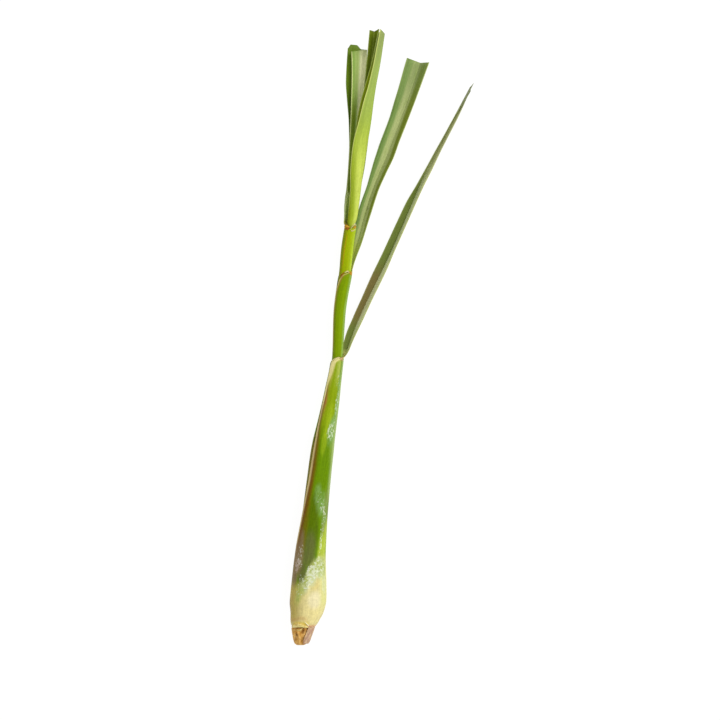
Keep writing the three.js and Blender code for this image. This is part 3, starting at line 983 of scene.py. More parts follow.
class SecondLeaf(Leaf):
    """The second leaf: a bright green sheath and the wide flat blade."""

    def own_fields(self, lay: Lay) -> Fields:
        """Green sheath with a tan seam and a painted highlight over the bloom on its right, blade in three
        lengthwise colours.
        """
        y, turn, near_a, near_b = lay.y, lay.turn, lay.edge(Half.A), lay.edge(Half.B)
        blade = ramp(self.collar - 1.0, self.collar + 5, y)
        bare = ramp(150, 160, y)
        middle = 0.16 + 0.2 * ramp(304, 270, y) + 0.25 * ramp(246, 222, y)
        on_sheath = {
            # Bluish bloom on the right side, with a painted highlight where that side faces the lamp.
            "blue_bloom_and_highlight": ramp(58, 30, turn),
            "shade_left": ramp(108, 150, turn),
            "margin": ramp(1.2, 0.6, near_a) * bare,
            "dry": ramp(2.6, 0.9, near_a) * bare,
            "collar_rim": ramp(self.collar - 1.5, self.collar - 0.6, y),
        }
        on_blade = {
            "blade_left": ramp(-0.3, -0.5, lay.share),
            "blade_mid": plateau(-0.64, -0.34, middle, middle + 0.3, lay.share),
            "blade_right": ramp(-0.05, 0.08, lay.share),
            "left_shadow": ramp(-0.72, -0.95, lay.share) * ramp(322, 300, y),
            "blade_root": bump_at(214, 14, y),
            "blade_edge": np.maximum(ramp(0.6, 0.15, near_a), 0.4 * ramp(0.5, 0.15, near_b)),
        }
        return {
            **scaled(1 - blade, on_sheath),
            **scaled(blade, on_blade),
            "blade_end": ramp(300, 333, y) * 0.6,
            "collar_dark": bump_at(201.4, 3.2, y) * plateau(96, 118, 200, 222, turn),
        }


class ThirdLeaf(Leaf):
    """The third leaf: its back half dark, its front half pale and veined."""

    def own_fields(self, lay: Lay) -> Fields:
        """Yellow-green sheath with painted light on its right, dark back partly deepened by painted shade,
        veined front with a pale edge.
        """
        y, turn, near_a, near_b = lay.y, lay.turn, lay.edge(Half.A), lay.edge(Half.B)
        blade = ramp(self.collar, self.collar + 6, y)
        front = blade * ramp(-0.02, 0.04, lay.share)
        on_sheath = {
            # Brighter towards the right side, which faces the lamp: painted light.
            "painted_light_right": ramp(78, 14, turn),
            "shade_left": ramp(112, 142, turn),
            "margin": ramp(0.8, 0.4, near_a) * plateau(205, 209, 224, 228, y) * 0.8,
            "collar_rim": ramp(self.collar - 1.3, self.collar - 0.5, y),
        }
        on_back = {
            "back": np.ones(y.shape),
            # The back half's own darker green, deepened by painted shade where it lies under the front half.
            "back_dark_and_shade": plateau(254, 270, 296, 322, y),
            "back_foot": ramp(262, 250, y),
        }
        on_front = {
            "front": np.ones(y.shape),
            "front_low": ramp(322, 296, y) * ramp(0.45, 0.7, lay.share),
            "front_veins": plateau(0.28, 0.4, 0.72, 0.84, lay.share) * ramp(300, 325, y),
            "front_fold": ramp(0.6, 0.35, lay.share) * ramp(284, 304, y),
        }
        on_blade = {
            "foot_edge": ramp(2.6, 1.2, near_b) * ramp(258, 246, y),
            "front_edge": ramp(0.8, 0.3, near_a),
            "back_edge": ramp(0.5, 0.15, near_b),
        }
        return {
            **scaled(1 - blade, on_sheath),
            **scaled(blade - front, on_back),
            **scaled(front, on_front),
            **scaled(blade, on_blade),
            "end_dark": ramp(334, 343, y) * 0.5,
            "collar_dark": bump_at(230.6, 1.5, y) * plateau(94, 118, 200, 224, turn),
        }


class InnerLeaf(Leaf):
    """The narrow leaf behind the heart."""

    def own_fields(self, lay: Lay) -> Fields:
        """Plain dark blade with lighter edges and a pale foot."""
        blade = ramp(self.collar - 2, self.collar + 8, lay.y)
        return {
            "foot": 1 - blade,
            "blade_edge": blade * ramp(0.5, 0.15, lay.rim),
            "mid": blade * bump_at(0, 0.2, lay.share),
        }


class HeartLeaf(Leaf):
    """The youngest leaf, still rolled low down and open towards its tip."""

    def own_fields(self, lay: Lay) -> Fields:
        """Light outside with painted light on its right and painted shade on its left, darker yellow inside,
        a pale line along the near margin.
        """
        y, turn = lay.y, lay.turn
        blade = ramp(236, 246, y)
        outside = 1 - lay.inside
        return {
            "foot": ramp(246, 228, y),
            "top": ramp(262, 330, y),
            "far": lay.inside * ramp(232, 250, y),
            # Brighter on the side that faces the lamp: painted light.
            "painted_light_on_right": ramp(92, 50, turn) * ramp(300, 260, y) * outside,
            "left_shade": ramp(104, 142, turn) * ramp(300, 255, y) * outside,
            "near_edge": blade * ramp(0.7, 0.25, lay.edge(Half.A)),
            "far_edge": blade * ramp(0.5, 0.2, lay.edge(Half.B)),
            "tip_pale": ramp(322, 350, y),
        }


# ---- Colours of the leaves --------------------------------------------------------------

OUTER_FINISH = LeafFinish(
    "Outer sheath skin",
    srgb(108, 146, 2),
    (
        Tint("upper", srgb(146, 170, 12), 0.25),
        Tint("upper_light", srgb(164, 190, 30), 0.4),
        Tint("upper_pale", srgb(176, 192, 80), 0.3),
        Tint("right_low", srgb(134, 148, 66), 0.4),
        Tint("right_high", srgb(128, 158, 50), 0.4),
        Tint("tongue", srgb(92, 118, 2), 0.2),
        Tint("lime", srgb(180, 198, 66), 0.3),
        Tint("cream", srgb(238, 224, 156), 0.14, (0.5, 0.2)),
        Tint("warm", srgb(248, 232, 160), 0.15),
        Tint("pearl", srgb(255, 244, 204), 0.15),
        Tint("gold", srgb(224, 204, 120), 0.3),
        Tint("right_green", srgb(222, 226, 138), 0.3),
        Tint("haze", srgb(214, 224, 170), 0.5, (1.0, 0.4)),
        Tint("olive", srgb(106, 114, 54), 0.25),
        Tint("olive_left", srgb(122, 114, 8), 0.3),
        Tint("mauve", srgb(142, 120, 84), 0.3),
        Tint("left_shade", srgb(194, 174, 88), 0.12),
        Tint("mist", srgb(178, 190, 96), 0.8, (1.4, 0.5)),
        Tint("left_edge", srgb(104, 44, 26), 0.7, (0.9, 0.3)),
        Tint("mauve_light", srgb(196, 178, 162), 0.9, (1.0, 0.5), True),
        Tint("lip", srgb(228, 206, 92), 0.2),
        Tint("base_shade", srgb(200, 140, 66), 0.3),
        Tint("base_rose", srgb(238, 176, 130), 0.3),
        # Painted shade under the bulb's lip.
        Tint("base_end_shade", srgb(150, 92, 30), 0.3),
        Tint("wax", srgb(132, 172, 88), 1.0, (0.7, 0.22)),
        Tint("bloom", srgb(240, 245, 222), 0.72, (1.5, 0.75), True),
        Tint("brown", srgb(124, 80, 12), 0.35),
        Tint("blush", srgb(186, 124, 64), 0.6),
        Tint("dry", srgb(122, 90, 34), 0.4),
        Tint("margin", srgb(206, 186, 126), 0.3),
        Tint("cream_fade", srgb(204, 200, 84), 0.3),
        Tint("cream_band", srgb(246, 234, 160), 0.4),
        Tint("blade_dark", srgb(112, 126, 60), 0.15),
        Tint("blade_brown", srgb(124, 112, 66), 0.3),
        # Pale face of half A, partly painted glow of light through the blade.
        Tint("blade_pale_and_glow", srgb(244, 250, 196), 0.15),
        Tint("blade_root", srgb(240, 244, 180), 0.3),
        Tint("blade_tip", srgb(196, 200, 142), 0.2),
        Tint("blade_end", srgb(124, 134, 92), 0.2),
        Tint("blade_edge", srgb(216, 220, 130), 0.3),
        # Pale bloom tone with a painted highlight on the right side.
        Tint("right_bloom_and_highlight", srgb(168, 190, 112), 0.3),
        Tint("collar_rim", srgb(222, 218, 140), 0.2),
        Tint("collar_dark", srgb(176, 120, 76), 0.5),
    ),
    streak=0.11,
    mottle=0.09,
)
SECOND_FINISH = LeafFinish(
    "Middle leaf skin",
    srgb(128, 158, 1),
    (
        Tint("shade_left", srgb(120, 140, 6), 0.3),
        # Bluish bloom tone with a painted highlight on the right side.
        Tint("blue_bloom_and_highlight", srgb(152, 184, 84), 0.4),
        Tint("dry", srgb(158, 138, 40), 0.5),
        Tint("margin", srgb(208, 198, 118), 0.3),
        Tint("blade_left", srgb(126, 154, 82), 0.3),
        Tint("blade_right", srgb(132, 146, 54), 0.25),
        Tint("blade_mid", srgb(180, 190, 126), 0.35),
        Tint("left_shadow", srgb(96, 126, 60), 0.3),
        Tint("blade_end", srgb(128, 150, 84), 0.5),
        Tint("blade_root", srgb(176, 186, 84), 0.4),
        Tint("blade_edge", srgb(196, 206, 128), 0.3),
        Tint("collar_rim", srgb(214, 208, 110), 0.3),
        Tint("collar_dark", srgb(150, 90, 30), 0.5),
    ),
)
THIRD_FINISH = LeafFinish(
    "Upper leaf skin",
    srgb(158, 176, 2),
    (
        # Painted light on the sheath's right side.
        Tint("painted_light_right", srgb(198, 224, 58), 0.3),
        Tint("shade_left", srgb(140, 148, 6), 0.3),
        Tint("margin", srgb(190, 156, 20), 0.4),
        Tint("back", srgb(104, 132, 26), 0.2),
        # Dark green of the back half, partly painted shade under the front half.
        Tint("back_dark_and_shade", srgb(58, 84, 8), 0.3),
        Tint("back_foot", srgb(196, 220, 110), 0.25),
        Tint("foot_edge", srgb(240, 250, 190), 0.2),
        Tint("front", srgb(146, 178, 84), 0.2),
        Tint("front_low", srgb(122, 144, 40), 0.25),
        Tint("front_veins", srgb(176, 198, 112), 0.6, (2.2, 0.03)),
        Tint("front_fold", srgb(252, 252, 196), 0.3),
        Tint("front_edge", srgb(214, 222, 150), 0.3),
        Tint("back_edge", srgb(150, 168, 84), 0.4),
        Tint("end_dark", srgb(128, 150, 76), 0.5),
        Tint("collar_rim", srgb(222, 212, 100), 0.3),
        Tint("collar_dark", srgb(160, 92, 26), 0.5),
    ),
)
INNER_FINISH = LeafFinish(
    "Inner leaf skin",
    srgb(102, 118, 20),
    (
        Tint("mid", srgb(128, 142, 52), 0.3),
        Tint("foot", srgb(186, 190, 100), 0.3),
        Tint("blade_edge", srgb(160, 174, 88), 0.4),
    ),
)
HEART_FINISH = LeafFinish(
    "Heart leaf skin",
    srgb(166, 188, 46),
    (
        Tint("foot", srgb(176, 196, 46), 0.3),
        Tint("top", srgb(168, 190, 96), 0.2),
        # Painted light on the heart's right side.
        Tint("painted_light_on_right", srgb(208, 222, 98), 0.3),
        Tint("left_shade", srgb(144, 154, 6), 0.3),
        Tint("far", srgb(146, 164, 20), 0.2),
        Tint("tip_pale", srgb(156, 172, 98), 0.3),
        Tint("near_edge", srgb(206, 214, 120), 0.3),
        Tint("far_edge", srgb(186, 200, 104), 0.3),
    ),
)


# ---- The stalk's leaves -----------------------------------------------------------------

COLLAR_1, COLLAR_2, COLLAR_3 = 151.4, 204.4, 231.6

OUTER_SHEATH = Sheath(
    midrib=-40,
    radius=Curve([
        (-16, 7.1), (-14, 8.3), (-12, 9.0), (-7, 10.3), (0, 11.4), (11, 10.9), (21, 10.2), (37, 9.3),
        (55, 8.3), (76, 7.85), (90, 7.5), (99, 6.9), (111, 6.1), (124, 5.35), (133, 4.8),
        (142, 4.3), (148, 4.15), (150, 4.2), (151.4, 5.2), (152, 5.2),
    ]).one,
    wall=Curve([
        (-16, 1.4), (0, 2.0), (37, 1.5), (76, 1.25), (99, 1.05), (124, 0.75), (136, 0.6),
    ]).one,
    wrap=Curve([
        (-16, 224, 170), (16, 222, 172), (28, 208, 176), (38, 205, 176), (52, 199, 184),
        (62, 190, 190), (76, 179, 192), (88, 177, 186), (99, 183, 170), (111, 193, 159),
        (124, 197, 155), (142, 199, 148), (146.8, 192, 130), (148.8, 160, 96), (149.8, 120, 66),
        (150.6, 78, 40), (151.4, 36, 18),
    ]),
    tuck=Curve([(-16, 0.42), (76, 0.42), (88, 0.3), (99, 0.0)]).one,
)
SECOND_SHEATH = Sheath(
    midrib=-50,
    radius=nested(OUTER_SHEATH, COLLAR_1 - 1.6, Curve([
        (152, 3.3), (158, 3.4), (164, 3.55), (177, 3.85), (192, 4.2), (200, 4.6), (205, 4.65),
    ])),
    wall=Curve([(-10, 1.6), (37, 1.4), (76, 1.2), (124, 0.9), (150, 0.6)]).one,
    wrap=Curve([
        (170, 228, 124), (184, 219, 124), (190, 213, 118), (197, 188, 106), (200.6, 165, 98),
        (202.2, 128, 86), (203.4, 84, 66), (204.4, 36, 36),
    ]),
)
THIRD_SHEATH = Sheath(
    midrib=-75,
    radius=nested(SECOND_SHEATH, COLLAR_2, Curve([(205, 3.7), (217, 3.85), (232, 3.75)])),
    wall=Curve([(-6, 1.5), (76, 1.0), (124, 0.7), (150, 0.6)]).one,
    wrap=Curve([
        (206, 200, 161), (218, 194, 168), (224, 190, 172), (227.8, 187, 173),
        (229.4, 180, 170), (230.4, 120, 140), (231.1, 66, 96), (231.6, 40, 44),
    ]),
)
INNER_SHEATH = Sheath(
    midrib=-90,
    radius=nested(THIRD_SHEATH, COLLAR_3),
    wall=Curve([(-2, 1.0), (76, 0.7), (124, 0.6)]).one,
    wrap=Curve([(190, 172, 172), (231.6, 76, 76)]),
)
HEART_ROLL = Sheath(
    midrib=0,
    radius=nested(INNER_SHEATH, COLLAR_3),
    wall=Curve([(76, 0.7), (124, 0.6)]).one,
    wrap=Curve([(0, 172, 172), (240, 172, 172)]),
)

# Rows of a blade: y, x, z of the midrib, then heading, bend and length of halves A and B.
OUTER_BLADE = (
    (153, 23.0, 5.3, 54, 14, 3.1, 130, 10, 3.4),
    (155, 24.1, 5.2, 60, 12, 3.6, 134, 10, 4.7),
    (159.6, 25.9, 4.9, 66, 8, 4.4, 140, 10, 5.7),
    (166.4, 28.4, 4.4, 62, 8, 5.3, 144, 8, 5.8),
    (174.4, 31.6, 3.8, 58, 6, 5.8, 140, 8, 5.9),
    (183.3, 35.7, 3.2, 60, 6, 6.1, 140, 8, 6.1),
    (204.2, 46.0, 2.2, 64, 4, 6.3, 150, 6, 6.3),
    (217, 52.1, 1.7, 70, 4, 6.2, 150, 6, 6.2),
    (244.3, 63.9, 0.8, 66, 4, 6.1, 140, 6, 5.9),
    (256.7, 68.9, 0.5, 60, 4, 6.2, 116, 6, 5.6),
    (266.6, 73.5, 0.3, 55, 4, 6.1, 106, 4, 5.3),
    (275.9, 77.9, 0.1, 53, 4, 5.8, 99, 4, 5.0),
    (290.2, 85.4, 0, 53, 4, 5.3, 94, 4, 4.5),
    (304.4, 93.0, 0, 53, 4, 4.8, 93, 4, 3.9),
    (318, 100.3, 0, 54, 4, 4.1, 93, 4, 3.1),
)
SECOND_BLADE = (
    (208, 26.8, 3.9, 44, 20, 2.8, 206, 24, 3.2),
    (212, 27.9, 3.3, 46, 12, 3.1, 196, 14, 3.4),
    (221.3, 30.6, 3.1, 47, 6, 4.3, 186, 8, 4.5),
    (232.5, 33.3, 2.7, 46, 6, 5.4, 181, 6, 4.3),
    (243.7, 36.5, 2.3, 47, 6, 6.1, 178, 6, 4.8),
    (254.2, 40.0, 2.0, 48, 6, 6.2, 172, 6, 4.6),
    (264.1, 43.9, 1.7, 48, 6, 7.0, 168, 6, 5.7),
    (274, 48.3, 1.4, 47, 6, 7.4, 167, 6, 7.3),
    (284, 52.0, 1.1, 45, 6, 6.9, 166, 6, 7.7),
    (296.4, 56.7, 0.9, 44, 6, 7.1, 167, 6, 7.6),
    (313, 62.8, 0.6, 44, 6, 7.4, 169, 6, 8.5),
    (333, 69.6, 0.5, 42, 6, 7.8, 169, 6, 8.7),
)
THIRD_BLADE = (
    (232.8, 27.0, 4.4, 20, 30, 1.8, 184, 96, 7.6),
    (235, 27.3, 4.2, 24, 20, 1.6, 182, 94, 8.4),
    (240, 27.9, 3.4, 66, 12, 1.2, 180, 84, 8.4),
    (247, 28.8, 2.6, 130, 14, 2.4, 180, 56, 7.4),
    (254.2, 29.6, 2.3, 150, 14, 6.2, 184, 18, 6.1),
    (271.6, 31.2, 2.2, 155, 12, 6.6, 192, 8, 6.2),
    (296, 33.2, 2.1, 156, 12, 7.4, 194, 10, 8.2),
    (310, 34.3, 1.8, 156, 12, 8.0, 194, 12, 10.4),
    (322, 35.2, 1.6, 156, 12, 8.6, 194, 14, 12.0),
    (335, 36.3, 1.5, 156, 12, 9.8, 194, 15, 12.4),
    (341, 36.6, 1.5, 156, 12, 10.4, 194, 15, 12.2),
)
INNER_BLADE = (
    (235, 26.7, 5.0, 8, 34, 2.2, 172, 34, 2.2),
    (241, 28.5, 4.3, 14, 14, 2.1, 166, 14, 2.7),
    (254.2, 30.8, 4.1, 16, 4, 1.7, 164, 4, 2.9),
    (271.6, 34.0, 4.4, 20, 4, 1.7, 160, 4, 3.0),
    (296, 36.5, 5.2, 26, 4, 2.3, 154, 4, 3.2),
    (318.7, 37.7, 6.0, 29, 4, 3.4, 151, 4, 3.4),
    (331, 38.9, 6.5, 30, 4, 3.5, 150, 4, 3.5),
    (352, 41.0, 7.2, 30, 4, 3.6, 150, 4, 3.6),
)
HEART_BLADE = (
    (235, 30.0, 8.9, 90, 172, 8.7, 270, 172, 8.7),
    (240, 31.0, 9.1, 90, 170, 9.3, 270, 170, 9.3),
    (254.2, 32.8, 10.0, 92, 160, 9.8, 268, 160, 9.8),
    (263.6, 34.0, 10.6, 100, 132, 10.4, 260, 132, 10.2),
    (271.6, 35.2, 11.1, 110, 110, 10.6, 250, 110, 10.2),
    (279, 36.3, 11.6, 120, 90, 10.4, 240, 90, 10.1),
    (285.5, 37.4, 12.1, 128, 75, 10.0, 232, 72, 10.0),
    (294.5, 38.9, 12.7, 133, 60, 8.8, 228, 60, 10.0),
    (308.5, 40.7, 13.4, 138, 45, 6.9, 222, 45, 9.0),
    (318.2, 42.2, 13.8, 140, 36, 5.4, 220, 40, 7.7),
    (332, 44.8, 14.3, 140, 30, 4.7, 220, 35, 6.3),
    (350, 47.5, 14.8, 136, 25, 3.4, 222, 30, 4.8),
)


def all_leaves() -> list[Leaf]:
    """The stalk's five leaves, outermost first."""
    return [
        OuterLeaf(
            "leaf_1", "outer_sheath", OUTER_SHEATH, COLLAR_1, OUTER_BLADE, (2.2, -3), 72,
            (Spell(-16, 66, 1.0), Spell(66, 146, 1.6), Spell(146, 160, 0.5), Spell(160, 318, 2.0)),
            Ribs(18, 0.09, 0.05), OUTER_FINISH, seed=1,
        ),
        SecondLeaf(
            "leaf_2", "middle_leaf", SECOND_SHEATH, COLLAR_2, SECOND_BLADE, (0, 3), 56,
            (
                Spell(-9, 140, 12), Spell(146, 200, 1.6), Spell(200, 214, 0.5),
                Spell(214, 333, 2.0),
            ),
            Ribs(13, 0.07, 0.05), SECOND_FINISH, (13.0, 8.0), seed=2,
        ),
        ThirdLeaf(
            "leaf_3", "upper_leaf", THIRD_SHEATH, COLLAR_3, THIRD_BLADE, (-1.2, 1.2), 56,
            (
                Spell(-5, 123, 16), Spell(129, 194, 5), Spell(200, 227, 1.6), Spell(227, 240, 0.5),
                Spell(240, 341, 2.0),
            ),
            Ribs(12, 0.06, 0.06), THIRD_FINISH, (12.0, 9.0), seed=3, crown=2.4,
        ),
        InnerLeaf(
            "leaf_4", "inner_leaf", INNER_SHEATH, COLLAR_3, INNER_BLADE, (1.5, 0.8), 24,
            (Spell(-1, 123, 16), Spell(129, 222, 5), Spell(226, 352, 2.2)),
            Ribs(6, 0.03, 0.05, 0.06), INNER_FINISH, (8.0, 4.0), seed=4,
        ),
        HeartLeaf(
            "heart_leaf", "heart", HEART_ROLL, COLLAR_3, HEART_BLADE, (3, 1.4), 56,
            (Spell(3, 123, 16), Spell(129, 222, 5), Spell(226, 350, 1.6)),
            Ribs(12, 0.04, 0.07), HEART_FINISH, (9.0, 9.0), seed=5,
        ),
    ]


# ---- Root end -----------------------------------------------------------------------------

STUB_TIP = -27.3
STUB_TOP = -16.4
STUB_SHIFT = -0.6
STUB_CORE = 4.9
SKIN_INSET = 0.25
SCALE_MIDDLE = 12.0
STUB_RADIUS = Curve([(STUB_TIP, 2.5), (-26.3, 4.0), (-22.5, 5.4), (-18, 6.65), (STUB_TOP, 6.85)])
SCALE_CLASP = Curve([(-26.3, 60), (-24, 62), (-20, 56), (-16.6, 50)])


def stub_middle(y: float) -> tuple[float, float]:
    """Middle of the stub: on the stalk's line inside the bulb, to its left below."""
    cx, cz = STALK_LINE(y)
    return cx + STUB_SHIFT * float(ramp(-15.4, STUB_TOP, y)), cz


@dataclass(frozen=True)
class DryFinish:
    """Skin of dry root tissue: a ground colour, fibres, darker hollows and lighter crests, which are partly
    the tissue's own tone and partly painted shade and painted highlight.

    Attributes:
        name: Name of the material.
        ground: Main colour.
        hollow: Colour where the field "hollow" is 1.
        crest: Colour where the field "crest" is 1.
        grain: Repeats a millimetre of the fibres, across and along.
        depth: Depth of the fibres in millimetres.
        roughness: Roughness of the skin.
        gloss: Specular level.
    """

    name: str
    ground: Colour
    hollow: Colour
    crest: Colour
    grain: tuple[float, float] = (1.6, 0.3)
    depth: float = 0.12
    roughness: float = 0.75
    gloss: float = 0.12

    def build(self) -> bpy.types.Material:
        """Makes the material."""
        bench = NodeBench(self.name)
        fibre = bench.noise(bench.strip(*self.grain, shift=5.0), 5.0, 0.65)
        patch = bench.noise(bench.strip(0.35, 0.35, 9.0), 3.0, 0.6)
        colour = bench.blend(bench.span(patch, 0.35, 0.7), self.ground, self.crest)
        # Lighter on crests and darker in hollows: painted highlight and painted shade over the tissue's
        # tone.
        raised = bench.maths("MULTIPLY", bench.value_of("crest"), fibre)
        colour = bench.blend(raised, colour, self.crest)
        dark = bench.span(fibre, 0.7, 0.3, 0.35, 1.0)
        sunk = bench.maths("MULTIPLY", bench.value_of("hollow"), dark)
        colour = bench.blend(sunk, colour, self.hollow)
        light = bench.span(fibre, 0.3, 0.7, 0.82, 1.16)
        bench.link(bench.brighten(colour, light), bench.shader.inputs["Base Color"])
        bench.skin(self.roughness, self.gloss)
        bench.relief(fibre, self.depth)
        return bench.material


STUB_FINISH = DryFinish(
    "Root tissue", srgb(212, 154, 64), srgb(122, 66, 4), srgb(242, 196, 118), (1.1, 0.5),
)
SCALE_FINISH = DryFinish(
    "Dry scale", srgb(196, 156, 136), srgb(156, 100, 62), srgb(226, 196, 150), (1.0, 0.3),
)
# Turn and y of the middle, half turn, half length and height of each mark on the stub.
STUB_PITS = (
    (82, -18.6, 14, 2.2, 1.3), (124, -20.2, 12, 2.4, 0.9), (136, -23.6, 14, 1.8, 0.7),
)
STUB_KNOBS = ((150, -21.6, 16, 2.6, 0.6), (116, -25.2, 16, 1.8, 0.5))


def marks(rows: Sequence[Sequence[float]], degrees: np.ndarray, y: float) -> np.ndarray:
    """Height at y of small round marks, added up."""
    return sum(
        height * bump_at(turn, half_turn, degrees) * bump_at(middle, half_length, y)
        for turn, middle, half_turn, half_length, height in rows
    )


@dataclass
class RootStub:
    """The stub that the roots were trimmed from.

    Attributes:
        top: Where it ends inside the bulb.
        sides: Points in a ring.
        step: Distance between rings.
        grain_radius: Radius that spaces the fibres round it.
    """

    top: float = -4.0
    sides: int = 96
    step: float = 0.35
    grain_radius: float = 5.4

    def relief(self, degrees: np.ndarray, y: float, wander: Wander) -> np.ndarray:
        """Height of the bare surface round the ring at y: ridge, knobs, lumps and pits.

        Args:
            degrees: Direction of each point from the stub's middle.
            y: Place of the ring.
            wander: Slow waves of the surface.

        Returns:
            Millimetres, one value a point.
        """
        ridge = 0.8 * bump_at(104, 11, degrees - 1.5 * (y + 22)) * ramp(-17.6, -19.6, y)
        lumps = 0.55 * wander(np.radians(degrees) * 4, y * 11)
        return ridge + marks(STUB_KNOBS, degrees, y) + lumps - marks(STUB_PITS, degrees, y)

    def build(self) -> bpy.types.Object:
        """Makes the stub with its fibrous ridges and knobbly end."""
        wander = Wander(51, 11)
        turn = np.linspace(-math.pi, math.pi, self.sides, endpoint=False)
        rows, hollow, crest, strip = [], [], [], []
        for y in spaced(STUB_TIP, self.top, self.step):
            bare = float(ramp(-15.4, -17.4, y))
            relief = self.relief(np.degrees(turn), y, wander)
            inside = float(ramp(-16.9, -15.4, y))
            skin = (STUB_RADIUS.one(y) - SKIN_INSET) * (1 - inside) + STUB_CORE * inside
            rows.append(ring(stub_middle(y), skin + relief * bare, turn, y))
            # Darker where the surface sinks and in a band just below the bulb's lip, lighter where it rises:
            # painted shade and painted highlight over the tissue's tone.
            hollow.append(np.clip(0.12 - relief * 1.3, 0, 1) * bare + 0.3 * bump_at(-17.0, 1.2, y))
            crest.append(np.clip(relief * 1.8, 0, 1))
            across = turn * self.grain_radius
            strip.append(np.stack([across, np.full(turn.shape, y), np.zeros(turn.shape)], axis=1))
        grid = np.array(rows)
        points = np.vstack([grid.reshape(-1, 3), grid[0].mean(axis=0), grid[-1].mean(axis=0)])
        fields = {
            "hollow": np.concatenate([np.clip(hollow, 0, 1).ravel(), np.full(2, 0.8)]),
            "crest": np.concatenate([np.array(crest).ravel(), np.zeros(2)]),
            "strip": np.vstack([np.array(strip).reshape(-1, 3), np.zeros((2, 3))]),
        }
        piece = make_mesh("root_stub", points, self.ring_faces(*grid.shape[:2]), fields)
        return place(piece, STUB_FINISH.build(), "root", "root_stub")

    def ring_faces(self, count: int, sides: int) -> np.ndarray:
        """Faces between the rings and over both ends, the ends as thin quads.

        Args:
            count: Rings.
            sides: Points in a ring.

        Returns:
            An array of four indices a face.
        """
        j, i = np.meshgrid(np.arange(count - 1), np.arange(sides), indexing="ij")
        near = (j * sides + i).ravel()
        beside = (j * sides + (i + 1) % sides).ravel()
        skin = np.stack([near, near + sides, beside + sides, beside], axis=1)
        first, last = count * sides, count * sides + 1
        pairs = np.arange(0, sides, 2)
        low = np.stack([np.full(len(pairs), first), pairs, pairs + 1, (pairs + 2) % sides], axis=1)
        offset = (count - 1) * sides
        far = [offset + (pairs + 2) % sides, offset + pairs + 1, offset + pairs]
        high = np.stack([np.full(len(pairs), last), *far], axis=1)
        return np.vstack([skin, low, high])


@dataclass
class BaseScale:
    """The dry scale that clasps the stub's right side.

    Attributes:
        gap: Distance of its outer face from the stub.
        wall: Its thickness.
        columns: Columns on each half.
        half_width: Half width that spaces its fibres.
    """

    gap: float = 1.15
    wall: float = 0.5
    columns: int = 36
    half_width: float = 7.0

    def build(self) -> bpy.types.Object:
        """Makes the scale with its folds and a ragged lower edge."""
        wander = Wander(61, 9)
        shares = np.linspace(-1, 1, 2 * self.columns + 1)
        outer, inner, hollow, crest = [], [], [], []
        for y in spaced(-26.3, -16.3, 0.3):
            turn = np.radians(SCALE_MIDDLE + SCALE_CLASP.one(y) * shares)
            folds = 0.12 * np.cos(turn * 11 + 0.16 * y) + 0.4 * wander(turn * 5, y * 6)
            curl = 0.5 * bump_at(1.0, 0.16, shares)
            radius = STUB_RADIUS.one(y) - SKIN_INSET + self.gap + folds * 0.6 + curl
            ragged = 0.7 * wander(turn * 9, 3.0) * ramp(-23, -26.3, y)
            for skin, depth in ((outer, 0.0), (inner, self.wall)):
                skin.append(ring(stub_middle(y), radius - depth, turn, y - ragged))
            # Darker in the folds' hollows and along the edge that meets the stub, lighter on the fold crests
            # and the curl: painted shade and painted highlight over the scale's tone.
            hollow.append(np.clip(0.2 - folds * 1.4 + bump_at(-1.0, 0.2, shares) * 0.8, 0, 1))
            crest.append(np.clip(folds * 2 + 0.15 + curl, 0, 1))
        rows, columns = len(outer), len(shares)
        points = np.vstack([np.array(outer).reshape(-1, 3), np.array(inner).reshape(-1, 3)])
        across = np.tile(shares * self.half_width, rows * 2)
        strip = np.stack([across, points[:, 1], np.zeros(len(points))], axis=1)
        fields = {
            "hollow": np.tile(np.array(hollow).ravel(), 2),
            "crest": np.tile(np.array(crest).ravel(), 2),
            "strip": strip,
        }
        piece = make_mesh("base_scale", points, closed_strip_faces(rows, columns), fields)
        return place(piece, SCALE_FINISH.build(), "scale", "base_scale")


# ---- Rims -----------------------------------------------------------------------------------

RIM_SIDES = 12
RIM_STEP = 1.5
RIM_RADIUS = 4.0


